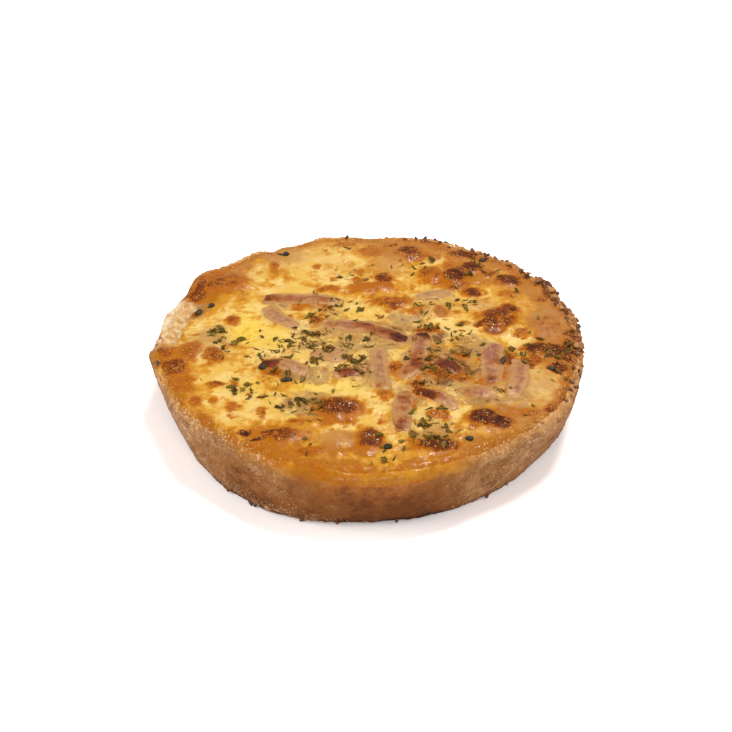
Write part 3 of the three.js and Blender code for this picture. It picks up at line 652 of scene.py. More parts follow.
# Broad golden areas and the fresher yellow ones: place, half sizes, and strength.
GOLDEN = [
    (56, 24, 11, 20, 0.85), (28, 51, 24, 10, 0.6), (-47, 35, 13, 13, 0.6), (57, -18, 9, 20, 0.45),
    (54, 7, 6, 8, 0.5), (35, 36, 7, 5, 0.6), (0, 41, 5, 4, 0.5), (-46, 27, 6, 5, 0.5),
    (30, 16, 5, 4, 0.4), (-24, 43, 5, 4, -0.3), (-24, -23, 5, 3, 0.4), (-39, -5, 5, 4, 0.3),
    (-32, -18, 6, 3, 0.35), (-2, 28, 7, 3, 0.4), (59, -8, 4, 6, 0.5), (-53, 21, 5, 5, 0.5),
    (14, 50, 6, 5, 0.4), (24, -28, 6, 4, 0.3), (-6, -50, 8, 5, 0.45), (38, -33, 8, 4, 0.5),
    (6, 31, 9, 4, 0.4), (22, 35, 6, 4, 0.4), (-15, -41, 7, 3, 0.4), (-60, -14, 9, 18, 0.5),
    (2, 26, 14, 7, 0.3), (38, -46, 20, 8, 0.5), (-38, -48, 20, 7, 0.5), (0, -58, 40, 5, 0.5),
    (10, 55, 16, 6, 0.4), (24, -14, 11, 12, 0.5), (-54, 12, 6, 7, 0.15), (38, 14, 6, 6, 0.35),
    (-28, 53, 9, 7, 0.35), (9, -36, 5, 12, 0.1), (30, 36, 10, 6, 0.3), (-24, -46, 8, 6, 0.4),
    (-9, -36, 6, 5, 0.3), (-3, 19, 5, 3, -0.8), (25, -25, 4, 3, -0.7), (-40, -22, 5, 4, -1),
    (53, -27, 5, 6, -0.5), (-6, -51, 7, 4, 0.6), (17, 28, 5, 4, -0.3), (40, -36, 5, 4, 0.4),
    (48, -1, 4, 3, -0.5), (22, 48, 5, 4, -0.6), (29, 8, 5, 4, -0.8), (46, 4, 4, 4, -0.7),
    (-29, 39, 4, 3, 0.6), (57, -22, 5, 7, -0.5), (41, -1, 3, 3, 0.5), (-46, -26, 5, 4, 0.5),
    (-17, 28, 4, 3, -0.5), (-36, 38, 4, 3, -0.6), (14, -36, 4, 4, -0.4), (-28, 0, 4, 4, -0.8),
    (-39, -40, 5, 3, -0.6), (-20, 51, 4, 4, -0.7), (5, -59, 5, 3, -0.5), (-45, 23, 4, 3, -0.4),
    (-36, -28, 4, 3, -0.6), (-54, 20, 3, 4, 0.5),
]
YELLOW = [
    (-31, 3, 7, 7, 0.36), (-26, -23, 9, 3.5, 0.5), (-9, -24, 8, 4, 0.35), (-38, 9, 4, 10, 0.5),
    (0, 17, 6, 3, 0.1),
]
# Where the herbs, and the juice of the ham, have darkened the skin: place, half sizes, strength.
STAINED = [
    (-14, 1, 11, 8, 0.85), (-18, -33, 7, 5, 1.2), (-13, 18, 7, 4, 0.9), (22, -15, 8, 9, 1.95),
    (18, -46, 6, 6, 0.8), (19, 4, 5, 4, 0.5), (-18, -18, 6, 4, 1.4), (-14, 11, 6, 3, 0.5),
    (4, -1, 5, 5, 0.8), (-1, -19, 4, 5, 0.8), (18, 2, 5, 4, 0.8), (11, 12, 6, 4, 1.3),
    (13, -28, 4, 5, 0.9), (31, -3, 5, 5, 1.3), (38, -33, 7, 3, 0.7), (40, -16, 4, 6, 0.8),
    (-14, -29, 5, 3, 0.6), (-53, 20, 4, 5, 0.6), (-4, 38, 6, 4, 0.5), (52, -5, 7, 5, 0.6),
    (-9, -12, 7, 6, 0.45), (5, -14, 5, 13, 0.5), (-28, -10, 6, 6, 0.5), (14, -2, 5, 8, 0.5),
    (-33, -26, 6, 4, 0.4), (30, 30, 8, 6, 0.3), (46, -20, 4, 12, 0.4), (-45, 3, 5, 5, 0.4),
    (36, -28, 8, 4, 0.7), (31, -30, 4, 3, 0.4), (-17, -10, 4, 3, -0.8), (-1, -14, 3, 3, 1.3),
    (-1, 10, 4, 2, 1.3), (9, 6, 3, 2.5, 1.2), (32, -16, 3, 3, 1.2), (-4, -1, 4, 4, 0.6),
    (-27, 20, 3, 2, 1), (20, 4, 4, 3, 0.7), (-28, 0, 4, 4, -1.2), (-40, -22, 5, 4, -1.2),
    (-36, -28, 4, 3, -1), (-3, 18, 4, 3, -1.2), (28, 9, 4, 3, -1.2), (-18, 14, 3, 3, -0.6),
    (-54, 20, 3, 4, 0.8),
]
FLECKS = 170  # small golden spots besides the large ones
FLECKS_REACH = 62
FLECK_SIZE = (0.5, 1.6)
FLECK_BROWN = (0.18, 0.5)
CRACK = (-53.9, 20, 0.9, 3.5, 0.6)  # a browned crack: place, half width, half length and soft end
TORN_EDGE = 57.4  # how far out the skin goes where the rim has come away
SKIN_HIGHEST = 1000 * cad_box[1][2] - 0.5
CREST_POINT = 10  # the section's point at the inner side of the crest, where the skin meets it
# The side of the filling, down the hollow: the section's point, how far in from it and below it.
FILLING_SIDE = [(11, 0.1, 0.5), (12, 0.3, 0.0), (13, 0.3, 0.0), (14, 0.3, -0.3)]
ABOVE = 60  # lines straight down start here, over everything
HAM_MAP_WIDTH = 140  # of a map that tells where the ham lies
HAM_CELL = 0.4
HAM_BLURS = (3.0, 1.6, 3.5)  # of its heights, its outlines and its nearness, in cells
HAM_SUNK = {  # how much of a strip the skin has run over, where not the even share
    "ham_left_buried": 0.42, "ham_back_right": 0.40, "ham_right_narrow": 0.2,
    "ham_back_left_fold": 0.16, "ham_middle_left_upright": 0.16, "ham_right_shreds": 0.16,
    "ham_middle_right_piece": 0.12,
}
SUNK_EVENLY = 0.08


def ripples(x, y):
    return (0.28 * np.sin(0.21 * x + 0.9) * np.cos(0.17 * y - 0.4)
            + 0.16 * np.sin(0.39 * x - 0.31 * y + 2.1))


def spread_over(x, y, places, column, sharp=0.9):
    """The sum of flat-topped patches, each weighted by one column of its row."""
    total = np.zeros_like(x)
    for row in places:
        far = ((x - row[0]) / row[2]) ** 2 + ((y - row[1]) / row[3]) ** 2
        total += row[column] * np.exp(-sharp * far * far)
    return total


def around(values, degrees):
    """A value kept for each step round the quiche, read at any direction."""
    return np.interp(degrees % 360, np.append(round_degrees, 360), np.append(values, values[0]))


def soften(values, cells):
    """A map blurred over so many cells each way."""
    reach = int(3 * cells) + 1
    weights = np.exp(-0.5 * (np.arange(-reach, reach + 1) / cells) ** 2)
    weights /= weights.sum()
    for axis in (0, 1):
        values = sum(w * np.roll(values, k - reach, axis) for k, w in enumerate(weights))
    return values


def read_map(values, x, y):
    """A map's value at each place, between its cells."""
    u, v = (x / HAM_CELL + len(values) / 2), (y / HAM_CELL + len(values) / 2)
    iu, iv = np.clip(u.astype(int), 0, len(values) - 2), np.clip(v.astype(int), 0, len(values) - 2)
    fu, fv = u - iu, v - iv
    low = mix(values[iu, iv], values[iu + 1, iv], fu)
    return mix(low, mix(values[iu, iv + 1], values[iu + 1, iv + 1], fu), fv)


def tree_of(points, polygons):
    return BVHTree.FromPolygons([tuple(p) for p in points], [tuple(each) for each in polygons])


def seen_from_above(tree, x, y):
    """The highest point at a place and the way that the surface faces there, or None twice."""
    return tree.ray_cast(Vector((x, y, ABOVE)), Vector((0, 0, -1)))[:2]


# The ham as the skin meets it, seen from above: its top, where it lies and how far it has sunk.
map_size = int(HAM_MAP_WIDTH / HAM_CELL)
ham_top, ham_lies, ham_sunk = (np.zeros((map_size, map_size)) for _ in range(3))
for node_name, node in frame["nodes"].items():
    if not node_name.startswith("ham_"):
        continue
    node.data.calc_loop_triangles()
    corners = corners_of(node)
    strip_tree = tree_of(corners, [t.vertices for t in node.data.loop_triangles])
    low, high = (
        (end[:2] / HAM_CELL + map_size / 2).astype(int) for end in (corners.min(0), corners.max(0)))
    for u in range(low[0] - 1, high[0] + 3):
        for v in range(low[1] - 1, high[1] + 3):
            x, y = (u - map_size / 2) * HAM_CELL, (v - map_size / 2) * HAM_CELL
            hit = seen_from_above(strip_tree, x, y)[0]
            if hit:
                ham_top[u, v], ham_lies[u, v] = hit.z, 1
                ham_sunk[u, v] = HAM_SUNK.get(node_name, SUNK_EVENLY)
wide_lies, ham_cover, ham_near = (soften(ham_lies, cells) for cells in HAM_BLURS)
ham_top, ham_sunk = (
    soften(values, HAM_BLURS[0]) / (wide_lies + 1e-6) for values in (ham_top, ham_sunk))

# The skin: a square net drawn out to a round one that ends on the crest.
edge_radius, edge_height = sections[:, CREST_POINT, 0], sections[:, CREST_POINT, 1]
line = np.linspace(-1, 1, SKIN_STEPS + 1)
a, b = np.meshgrid(line, line)
wide = np.abs(a) > np.abs(b)
reach = np.where(wide, a, b)
with np.errstate(divide="ignore", invalid="ignore"):
    heading = np.where(wide, math.pi / 4 * b / a, math.pi / 2 - math.pi / 4 * a / b)
heading = np.nan_to_num(heading)
flip = reach < 0
reach, heading = np.abs(reach).ravel(), np.where(flip, heading + math.pi, heading).ravel()
heading_deg = np.degrees(heading) % 360
rim_here = around(edge_radius, heading_deg)
outermost = rim_here + OVERLAP + 0.35 * np.sin(heading * 23) * np.sin(heading * 7)
skin_radius = reach * mix(outermost.mean(), outermost, reach ** 5)
skin_x, skin_y = skin_radius * np.cos(heading), skin_radius * np.sin(heading)
flat = np.stack([skin_x, skin_y, np.zeros_like(skin_x)], axis=-1)
warp_x = skin_x + 1.0 * grain(flat, 0.20, 2, 41) + 0.6 * grain(flat, 0.65, 2, 42)
warp_y = skin_y + 1.0 * grain(flat, 0.20, 2, 43) + 0.6 * grain(flat, 0.65, 2, 44)

share_out = skin_radius / rim_here
rim_level = around(edge_height, heading_deg)
skin_z = mix(SKIN_LEVEL, rim_level, smoothstep(share_out, 0.55, 1))
skin_z = skin_z + DOME * (1 - np.minimum(share_out, 1) ** 4)
calm = 1 - smoothstep(share_out, 0.9, 1)
swells = spread_over(skin_x, skin_y, BLISTERS, 4) + spread_over(skin_x, skin_y, SOFT_LUMPS, 4)
skin_z += calm * swells
skin_z += calm * ripples(skin_x, skin_y)
skin_torn = in_tear(heading_deg, 1, 2)
skin_torn *= smoothstep(skin_radius - TORN_EDGE - 1.2 * grain(flat, 0.25, 3, 47), -0.35, 0.5)
skin_z -= 2.0 * skin_torn * calm

# How far it has browned, and the fine relief that comes with it.
browned_here = np.zeros_like(skin_x)
uneven = 1 + 0.30 * grain(flat, 0.38, 3, 46)
for x, y, half_x, half_y, _, brown in BLISTERS:
    far = np.hypot((warp_x - x) / half_x, (warp_y - y) / half_y)
    core, halo = 1 - smoothstep(far, 0.55, 1.18), np.exp(-((far / 1.40) ** 3))
    around_core = (0.16 + 0.18 * brown) * halo * (1 - core)
    browned_here = np.maximum(browned_here, brown * core * uneven + around_core)
x, y, half_wide, half_long, soft_end = CRACK
past_end = np.maximum(np.abs(skin_y - y) - half_long, 0)
crack = np.hypot((warp_x - x) / half_wide, past_end / soft_end)
browned_here = np.maximum(browned_here, 0.95 * np.exp(-(crack ** 2)))
draws = np.random.default_rng(11)
for _ in range(FLECKS):
    turn, out = draws.uniform(0, 2 * math.pi), FLECKS_REACH * math.sqrt(draws.uniform(0.02, 1))
    x, y = out * math.cos(turn), out * math.sin(turn)
    size, amount = draws.uniform(*FLECK_SIZE), draws.uniform(*FLECK_BROWN)
    far = np.hypot((warp_x - x) / size, (warp_y - y) / (size * draws.uniform(0.6, 1.5)))
    browned_here = np.maximum(browned_here, amount * np.exp(-(far ** 3)))
rim_share = smoothstep(share_out + 0.02 * grain(flat, 0.15, 2, 51), 0.93, 1.01)
rim_brown = RIM_EVENLY + bells(heading_deg, RIM_BROWNED) + 0.30 * grain(flat, 0.16, 3, 7)
browned_here = np.maximum(browned_here, rim_brown * rim_share) * (1 - skin_torn)
crackle = smoothstep(browned_here, 0.34, 0.68)
# Along the granular rim the crackle share is raised: it gives relief and coat there, and lays the
# painted glints of the beads.
crackle = np.maximum(crackle, 1.6 * rim_share * np.clip(bells(heading_deg, GRANULAR), 0, 1))
strands = (1 - np.clip(2.6 * np.abs(grain(flat, 0.11, 3, 54)), 0, 1)) ** 2
relief = 0.36 * grain(flat, 0.13, 3, 53) + 0.05 * grain(flat, 0.7, 2, 57) + 0.12 * strands
relief += crackle * (0.12 * bubbles(flat, 0.75) + 0.14 * grain(flat, 0.5, 2, 58) - 0.05)
skin_z = skin_z + calm * relief
broken = 0.8 * grain(flat, 0.35, 3, 59) + 0.45 * grain(flat, 1.1, 3, 60)

# It has set up against the ham, and over the edges of it.
lies = read_map(ham_cover, skin_x, skin_y)
top_here = read_map(ham_top, skin_x, skin_y)
lapped = lies + 0.26 * grain(flat, 0.40, 3, 63) - read_map(ham_sunk, skin_x, skin_y)
beside_ham = read_map(ham_near, skin_x, skin_y)
edge_of_ham = np.maximum(skin_z, top_here + 0.05 + 0.25 * grain(flat, 0.4, 2, 64))
skin_z = mix(skin_z, edge_of_ham, smoothstep(beside_ham, 0.02, 0.26))
skin_z = mix(skin_z, top_here - 0.6, smoothstep(lapped, 0.24, 0.52) * smoothstep(lies, 0.2, 0.4))

# At the rim it lies on the crest as a thin film.
past = skin_radius - rim_here
film = 0.12 + 0.22 * grain(flat, 0.35, 3, 67) + 0.16 * bubbles(flat, 0.8)
skin_z = mix(skin_z, rim_level + film, smoothstep(past, -3.4, -0.6))
film = film - 0.6 * smoothstep(past, 0.3 * OVERLAP, 0.95 * OVERLAP)
shell_tree = tree_of(spots, shell_faces)
for k in np.flatnonzero(past > -0.2):
    hit = seen_from_above(shell_tree, skin_x[k], skin_y[k])[0]
    if hit:
        skin_z[k] = mix(skin_z[k], hit.z + film[k], float(smoothstep(past[k], -0.2, 0.3)))
skin_z = skin_z + skin_torn * broken * (1 - smoothstep(past, 0.6, 1.8))
skin_z = np.minimum(skin_z, SKIN_HIGHEST)

# The shares of its colours: stains, golden and fresh yellow areas, onion, and the ham's juice.
stain = spread_over(skin_x, skin_y, STAINED, 4, 0.45) * (0.75 + 0.6 * grain(flat, 0.3, 3, 72))
golden = spread_over(warp_x, warp_y, GOLDEN, 4, 0.5) + 0.55 * smoothstep(share_out, 0.86, 1.02)
golden = golden + 0.44 * grain(flat, 0.09, 4, 61)
golden = golden + 0.50 * np.maximum(grain(flat, 0.26, 4, 65), -0.2)
seams = (1 - np.clip(3.2 * np.abs(grain(flat, 0.30, 3, 73)), 0, 1)) ** 2
golden = golden + 0.24 * grain(flat, 0.7, 3, 68) + 0.30 * seams - 0.22 * strands
golden = golden + 0.5 * smoothstep(browned_here, 0.02, 0.4)
onion = spread_over(warp_x, warp_y, SOFT_LUMPS, 5, 0.6)
tan_edge = np.clip(bells(heading_deg, TAN_RIM), 0, 1) * smoothstep(share_out, 0.72, 0.98)
onion = onion + tan_edge * (0.6 + 0.6 * grain(flat, 0.16, 3, 66))
yellow = spread_over(warp_x, warp_y, YELLOW, 4, 0.5)
juicy = np.clip(0.65 + 0.5 * grain(flat, 0.35, 3, 74), 0.1, 1)
filmed = np.maximum(juicy * smoothstep(beside_ham, 0.08, 0.42), smoothstep(lies, 0.12, 0.5))

# The mesh: the skin, then the hidden side down the hollow, hoop by hoop, and the bottom.
side = SKIN_STEPS + 1
grid = np.arange(side * side).reshape(side, side)
quads = np.stack([grid[:-1, :-1], grid[:-1, 1:], grid[1:, 1:], grid[1:, :-1]], axis=-1)
skin_faces = quads.reshape(-1, 4).tolist()
filling_faces = list(skin_faces)
ring = np.concatenate([grid[0, :-1], grid[:-1, -1], grid[-1, :0:-1], grid[:0:-1, 0]])
ring_deg = heading_deg[ring]
beside = np.roll(np.arange(len(ring)), -1)
skin_points = np.stack([skin_x, skin_y, skin_z], axis=-1)
filling_points = skin_points
for point, inset, drop in FILLING_SIDE:
    out = around(sections[:, point, 0], ring_deg) - inset
    level = around(sections[:, point, 1], ring_deg) - drop
    below = len(filling_points) + np.arange(len(ring))
    filling_faces += np.stack([ring, below, below[beside], ring[beside]], axis=-1).tolist()
    ring = below
    hoop = round_points(out, np.radians(ring_deg), level)
    filling_points = np.concatenate([filling_points, hoop])
bottom = len(filling_points)
filling_points = np.concatenate([filling_points, [(0, 0, hollow_floor + 0.3)]])
filling_faces += np.stack([ring, np.full(len(ring), bottom), ring[beside]], axis=-1).tolist()
filling = new_mesh_object("filling_set", filling_points, filling_faces)
rest = len(filling_points) - len(skin_points)


def skin_and_rest(values, below=0.0):
    """One value for each vertex of the skin, and a plain one for the hidden side and bottom."""
    return np.concatenate([values, np.full(rest, below)])


paint(filling, "baked", skin_and_rest(browned_here), skin_and_rest(np.clip(golden, 0, 1.1), 0.3),
      skin_and_rest(np.clip(skin_torn, 0, 1)), skin_and_rest(crackle))
paint(filling, "tinted", skin_and_rest(np.clip(onion, 0, 1)), skin_and_rest(np.clip(stain, 0, 1.6)),
      skin_and_rest(np.clip(yellow, 0, 1)), skin_and_rest(filmed))

custard, tree, shader = new_material(
    "set egg and browned cheese",
    {"Specular IOR Level": 0.05, "Coat Roughness": 0.14, "Subsurface Weight": 0.12,
     "Subsurface Scale": 0.0015, "Subsurface Radius": (1.0, 0.7, 0.35)})
baked, golden_share, torn_away, crackled = shares_of(tree, "baked")
beige, stained, fresh, pinkish = shares_of(tree, "tinted")
curd = tint(tree, patches(tree, (150, 4), 0.35, 0.65), linear(230, 184, 84), linear(242, 208, 128))
veins = patches(tree, (340, 5, 0.7), 0.50, 0.68, 0.0, 0.55)
curd = tint(tree, veins, curd, linear(212, 168, 82))
curd = tint(tree, fresh, curd, linear(242, 206, 64))
curd = tint(tree, rise(tree, golden_share, 0.0, 0.55), curd, GOLDEN_CHEESE)
curd = tint(tree, rise(tree, golden_share, 0.5, 1.1), curd, AMBER_CHEESE)
curd = tint(tree, times(tree, beige, 0.8), curd, linear(194, 140, 78))
stain_level = calc(tree, "SUBTRACT", stained, 1.1)
stains = calc(tree, "MULTIPLY_ADD", object_noise(tree, 460, 5, 0.75), 2.2, stain_level)
curd = tint(tree, rise(tree, stains, 0.15, 0.85, 0.0, 0.8), curd, linear(178, 132, 76))
specks = times(tree, patches(tree, (900, 5, 0.75), 0.54, 0.64), rise(tree, stained, 0.2, 0.9))
curd = tint(tree, times(tree, specks, 0.7), curd, linear(128, 104, 54))
curd = tint(tree, rise(tree, stains, 1.0, 1.7), curd, linear(122, 78, 36))
curd = tint(tree, times(tree, pinkish, 0.9), curd, linear(178, 124, 84))
light_bake = tint(tree, times(tree, beige, 0.8), BAKED_CHEESE, linear(178, 116, 58))
done = use_group(tree, browning, {
    "Raw": curd, "Light Bake": light_bake, "Dark Bake": BROWN_CHEESE,
    "Char": BURNT_CHEESE, "Amount": baked, "Mottle": 0.38})
crumb = tint(tree, patches(tree, (420, 4), 0.3, 0.7), linear(206, 152, 86), linear(244, 216, 164))
# Pale golden beads on the blisters and the granular rim: painted glints tinted into the colour,
# with some coat.
glint_beads = use_group(tree, granules, {"Size": 1250.0, "Cover": times(tree, crackled, 0.5)})
painted_glint_share = times(tree, glint_beads["Mask"], rise(tree, crackled, 0.9, 1.4, 0.6, 0.95))
colour = tint(tree, painted_glint_share, done["Color"], linear(236, 174, 94))
colour = tint(tree, torn_away, colour, crumb)
gloss = patches(tree, (400, 2), 0.3, 0.7, 0.30, 0.50)
gloss = calc(tree, "MULTIPLY_ADD", crackled, 0.1, gloss)
blisters = use_group(tree, blistering, {"Amount": crackled, "Size": 1900.0})
blister_height = times(tree, blisters["Height"], 0.8)
bumps = calc(tree, "MULTIPLY_ADD", object_noise(tree, 450, 1.5), 0.7, blister_height)
bumps = calc(tree, "ADD", bumps, glint_beads["Height"])
greasy = patches(tree, (420, 4), 0.48, 0.66, 0.02, 0.32)
greasy = times(tree, greasy, rise(tree, crackled, 0.2, 0.8, 1.0, 0.3))
greasy = calc(tree, "MULTIPLY_ADD", blisters["Crests"], times(tree, crackled, 0.04), greasy)
greasy = calc(tree, "MULTIPLY_ADD", glint_beads["Mask"], 0.35, greasy)
greasy = times(tree, greasy, rise(tree, calc(tree, "MAXIMUM", stained, beige), 0.1, 0.7, 1.0, 0.1))
looks = {"Base Color": colour, "Roughness": gloss, "Coat Weight": greasy}
dress(tree, shader, looks, bumps, 0.8, 0.00025)
filling.data.materials.append(custard)
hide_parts("filling")
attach(filling, "root")

# ---- The ham ----
# Strips and scraps cut from slices of cooked ham and half sunk in the filling: soft, moist and pink
# to grey, streaked along their length, and browned where an edge stood up to the heat.
HAM_CUTS = 7  # cuts across each edge of a strip
HAM_SMOOTHINGS = 4
HAM_SWELL = 0.85
HAM_END = 2.5  # this much of each end is frayed
GREYED = {  # how far a strip's pink has turned to grey; the rest take the even value
    "ham_back_left": -0.2, "ham_back_left_fold": 0.6, "ham_middle_long": 0.5,
    "ham_left_buried": 0.95, "ham_middle_left_upright": 0.8, "ham_right_wide": 0.3,
    "ham_right_narrow": 0.35, "ham_back_right": 0.9,
}
GREYED_EVENLY = 0.5
# Burnt edges and ends: place, reach and depth of browning.
HAM_BURNT = [
    (-31.6, 24.7, 4, 0.62), (10, 2, 6, 0.86), (4, 4.2, 4.5, 0.6), (18.6, 5, 5.5, 0.95),
    (12.8, -24.4, 3.6, 0.9), (9.3, -44, 5, 0.55), (36, -21.5, 3.6, 0.62), (46.5, -11, 3, 0.5),
    (-29.5, -12.6, 4.8, 0.8), (-5.4, -18, 5, 0.62), (24, -15, 6, 0.75), (31, -29, 6, 0.42),
    (10.5, -29, 4, 0.5), (-14, 21, 4, 0.35), (3.5, -24, 3, 0.45), (-30, 20, 3, 0.4),
    (15.4, -13, 5, 0.62), (37, -14, 3, 0.2), (28, -28, 5, 0.4), (17, -28.5, 4, 0.85),
    (9, 6.5, 3, 0.5), (-26.5, 22, 5, 0.42), (-18, 23, 5, 0.28), (13, -8, 4, 0.4),
    (9.8, -36, 4, 0.35), (39.5, -12, 2.6, 0.6), (-1, 9, 4, 0.6), (-12, 10, 4, 0.4),
    (11, -17, 4, 0.5),
]
ham, tree, shader = new_material(
    "cooked ham",
    {"Specular IOR Level": 0.08, "Coat Weight": 0.05, "Coat Roughness": 0.2,
     "Subsurface Weight": 0.12, "Subsurface Scale": 0.001, "Subsurface Radius": (1.0, 0.5, 0.35)})
baked, greyed, filmed_over, _ = shares_of(tree, "cooked")
lengthwise = add_node(tree, "ShaderNodeAttribute", attribute_name="lengthwise").outputs["Vector"]
streaks = object_noise(tree, 900, 3, 0.6, lengthwise)
flesh = tint(tree, greyed, linear(166, 98, 74), linear(146, 104, 78))
flesh = tint(tree, rise(tree, streaks, 0.42, 0.66, 0.0, 0.7), flesh, linear(188, 136, 100))
flesh = tint(tree, patches(tree, (260, 3), 0.45, 0.7, 0.0, 0.6), flesh, linear(130, 78, 56))
done = use_group(tree, browning, {
    "Raw": flesh, "Light Bake": linear(158, 84, 36), "Dark Bake": linear(100, 40, 18),
    "Char": linear(50, 14, 10), "Amount": baked, "Mottle": 0.3})
colour = tint(tree, times(tree, filmed_over, 0.75), done["Color"], linear(204, 154, 92))
gloss = patches(tree, (500, 2), 0.3, 0.7, 0.18, 0.36)
fibres = calc(tree, "ADD", streaks, object_noise(tree, 600, 3))
dress(tree, shader, {"Base Color": colour, "Roughness": gloss}, fibres, 0.6, 0.0002)


def keep_values(made, name, values):
    """Keeps a number or a vector on every vertex, for a material or a scatter to read."""
    values = np.asarray(values, np.float32)
    kind, part = ("FLOAT", "value") if values.ndim == 1 else ("FLOAT_VECTOR", "vector")
    made.data.attributes.new(name, kind, "POINT").data.foreach_set(part, values.ravel())


strips = []
for number, (node_name, node) in enumerate(sorted(frame["nodes"].items())):
    if not node_name.startswith("ham_"):
        continue
    cut = bmesh.new()
    cut.from_mesh(node.data)
    bmesh.ops.remove_doubles(cut, verts=cut.verts, dist=1e-6)
    bmesh.ops.join_triangles(
        cut, faces=cut.faces, angle_face_threshold=math.radians(60),
        angle_shape_threshold=math.radians(70))
    bmesh.ops.subdivide_edges(cut, edges=cut.edges, cuts=HAM_CUTS, use_grid_fill=True)
    for _ in range(HAM_SMOOTHINGS):
        bmesh.ops.smooth_vert(
            cut, verts=cut.verts, factor=0.5, use_axis_x=True, use_axis_y=True, use_axis_z=True)
    cut.normal_update()
    places = np.array([v.co for v in cut.verts]) * 1000
    ways = np.array([v.normal for v in cut.verts])
    centre = places.mean(axis=0)
    long_way = np.linalg.svd((places - centre)[:, :2], full_matrices=False)[2][0]
    s = (places - centre)[:, :2] @ long_way  # along the strip
    t = (places - centre)[:, :2] @ np.array([-long_way[1], long_way[0]])  # across it
    fibre = np.stack([s * 0.18, t, places[:, 2] + 10 * number], axis=-1)
    wrinkle = 0.34 * grain(places, 0.35, 3, number) + 0.16 * grain(fibre, 1.1, 2, number + 50)
    at_end = smoothstep(np.abs(s), np.abs(s).max() - HAM_END, np.abs(s).max())
    swell = HAM_SWELL + wrinkle + at_end * 0.7 * grain(places, 0.6, 2, number + 90)
    places += ways * swell[:, None] * (1, 1, 0.15)
    places[:, 2] = np.minimum(places[:, 2], HIGHEST)
    for vert, place in zip(cut.verts, places * MM):
        vert.co = place
    strip_mesh = bpy.data.meshes.new(node_name.replace("ham_", "ham_strip_"))
    cut.to_mesh(strip_mesh)
    cut.free()
    strip_mesh.shade_smooth()
    strip = placed(strip_mesh.name, strip_mesh)
    strips.append(strip)
    keep_values(strip, "lengthwise", fibre * MM)
    burnt = np.zeros(len(places))
    for x, y, reach_mm, amount in HAM_BURNT:
        far = np.hypot(places[:, 0] - x, places[:, 1] - y) / reach_mm
        burnt = np.maximum(burnt, amount * np.exp(-far ** 2.4))
    burnt = burnt + 0.14 * grain(places, 0.4, 2, 5)
    inside = read_map(ham_near, places[:, 0], places[:, 1])
    inside = inside - 0.8 * read_map(ham_sunk, places[:, 0], places[:, 1])
    film = 1 - smoothstep(inside + 0.3 * grain(places, 0.45, 3, 8), 0.40, 0.88)
    film = np.maximum(film, 0.7 * smoothstep(grain(places, 0.3, 3, 12), 0.0, 0.45))
    film = film * (1 - smoothstep(burnt, 0.3, 0.6))
    grey = GREYED.get(node_name, GREYED_EVENLY) + 0.3 * grain(places, 0.2, 2, 11)
    paint(strip, "cooked", np.clip(burnt, 0, 1.1), np.clip(grey, 0, 1), np.clip(film, 0, 1))
    strip.data.materials.append(ham)
    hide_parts(node_name)
    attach(strip, "root")

# ---- The dried herbs ----
# Parsley and oregano rubbed over the filling before it was baked. The larger scraps have curled and
# stuck to the skin; finer ones and dust lie thick round them and here and there over the ham.
# The draws follow the rule of the solids', so that the larger scraps lie where theirs do.
HERB_SEED = 20
DRAW_FACTOR, DRAW_STEP, DRAW_RANGE = 1664525, 1013904223, 4294967296
FLAKE_LONG = (2.2, 4.2)
FLAKE_WIDE = (0.9, 1.7)
FLAKE_ROOM = 1.5  # kept free between two flakes
FLAKE_FROM_HAM = 0.9
FLAKES_REACH = 56.8
FLAKE_TRIES = 400
HERBS_REACH = (60, 63.5)  # the finer ones thin out between these two radii
HERBS_THICKLY = 7.0e5
HERBS_STREWN = [  # name, smallest, largest, lean in radians, and seed
    ("herb_scraps", 1.3, 3.6, 0.4, 5),
    ("herb_dust", 0.35, 1.0, 0.8, 9),
]
# Where the larger scraps lie: place, spread and number.
HERB_PLACES = [
    (-17, 1, 9, 16), (-10, 17.5, 5, 5), (-3.5, -10, 7, 5), (-28.5, -6.5, 5, 4), (-45, 3.5, 5, 4),
    (-19, -34, 4.5, 5), (27, -5, 7, 6), (18.5, -44.5, 5, 5), (-31, -28.5, 4, 3), (-5, 37, 4, 3),
    (30, 22, 6, 2), (0, 0, 34, 7),
]
# Where the finer ones lie thick: place, spread and weight.
HERBS_THICK = [
    (-13, 20, 4.5, 10), (-18, 11, 4, 3), (-15, 14, 2, 1), (-20, 2, 4, 7.5), (-13, 0, 6.5, 16),
    (-7, -2, 5, 6), (-17, -2, 4, 6), (-24, -1, 2.5, 3), (-12, -9, 5, 7), (-3, -6, 4, 1),
    (-5, -15, 5, 9), (-16, -12, 4, 1.5), (-28, -8, 5, 6), (-24, -20, 4, 5), (-42, -2, 2.5, 4),
    (-47, 6, 3, 5), (-37, -24, 4, 2), (-31, -27, 4, 3.5), (-18, -32, 6.5, 17), (-2, 38, 6, 7),
    (6, 59, 2, 1), (16, 43, 4, 3), (-5, 54, 3, 1.5), (17, 17, 4, 4), (23, 20, 3, 3), (31, 22, 3, 4),
    (18, 9, 3, 3), (24, 4, 5, 7), (28, -1, 4, 5), (21, -6, 4, 8), (17, -14, 4, 8), (28, -14, 5, 11),
    (21, -22, 4, 8), (18, -43, 6, 12), (17, -48, 5, 8), (5, -58, 4, 3), (-16, -53, 4, 3),
    (52, -4, 6, 12), (43, -6, 3, 4), (56, -16, 4, 4), (61, -2, 3, 3), (45, -32, 2.5, 2),
    (38, -28, 3, 1.5), (37, 46, 3, 3), (46, 44, 3, 2), (44, 36, 4, 3), (31, 41, 4, 4),
    (5, 10, 5, 2), (-26, -30, 5, 2), (0, 0, 45, 22), (-11, 20, 3, 5),
]
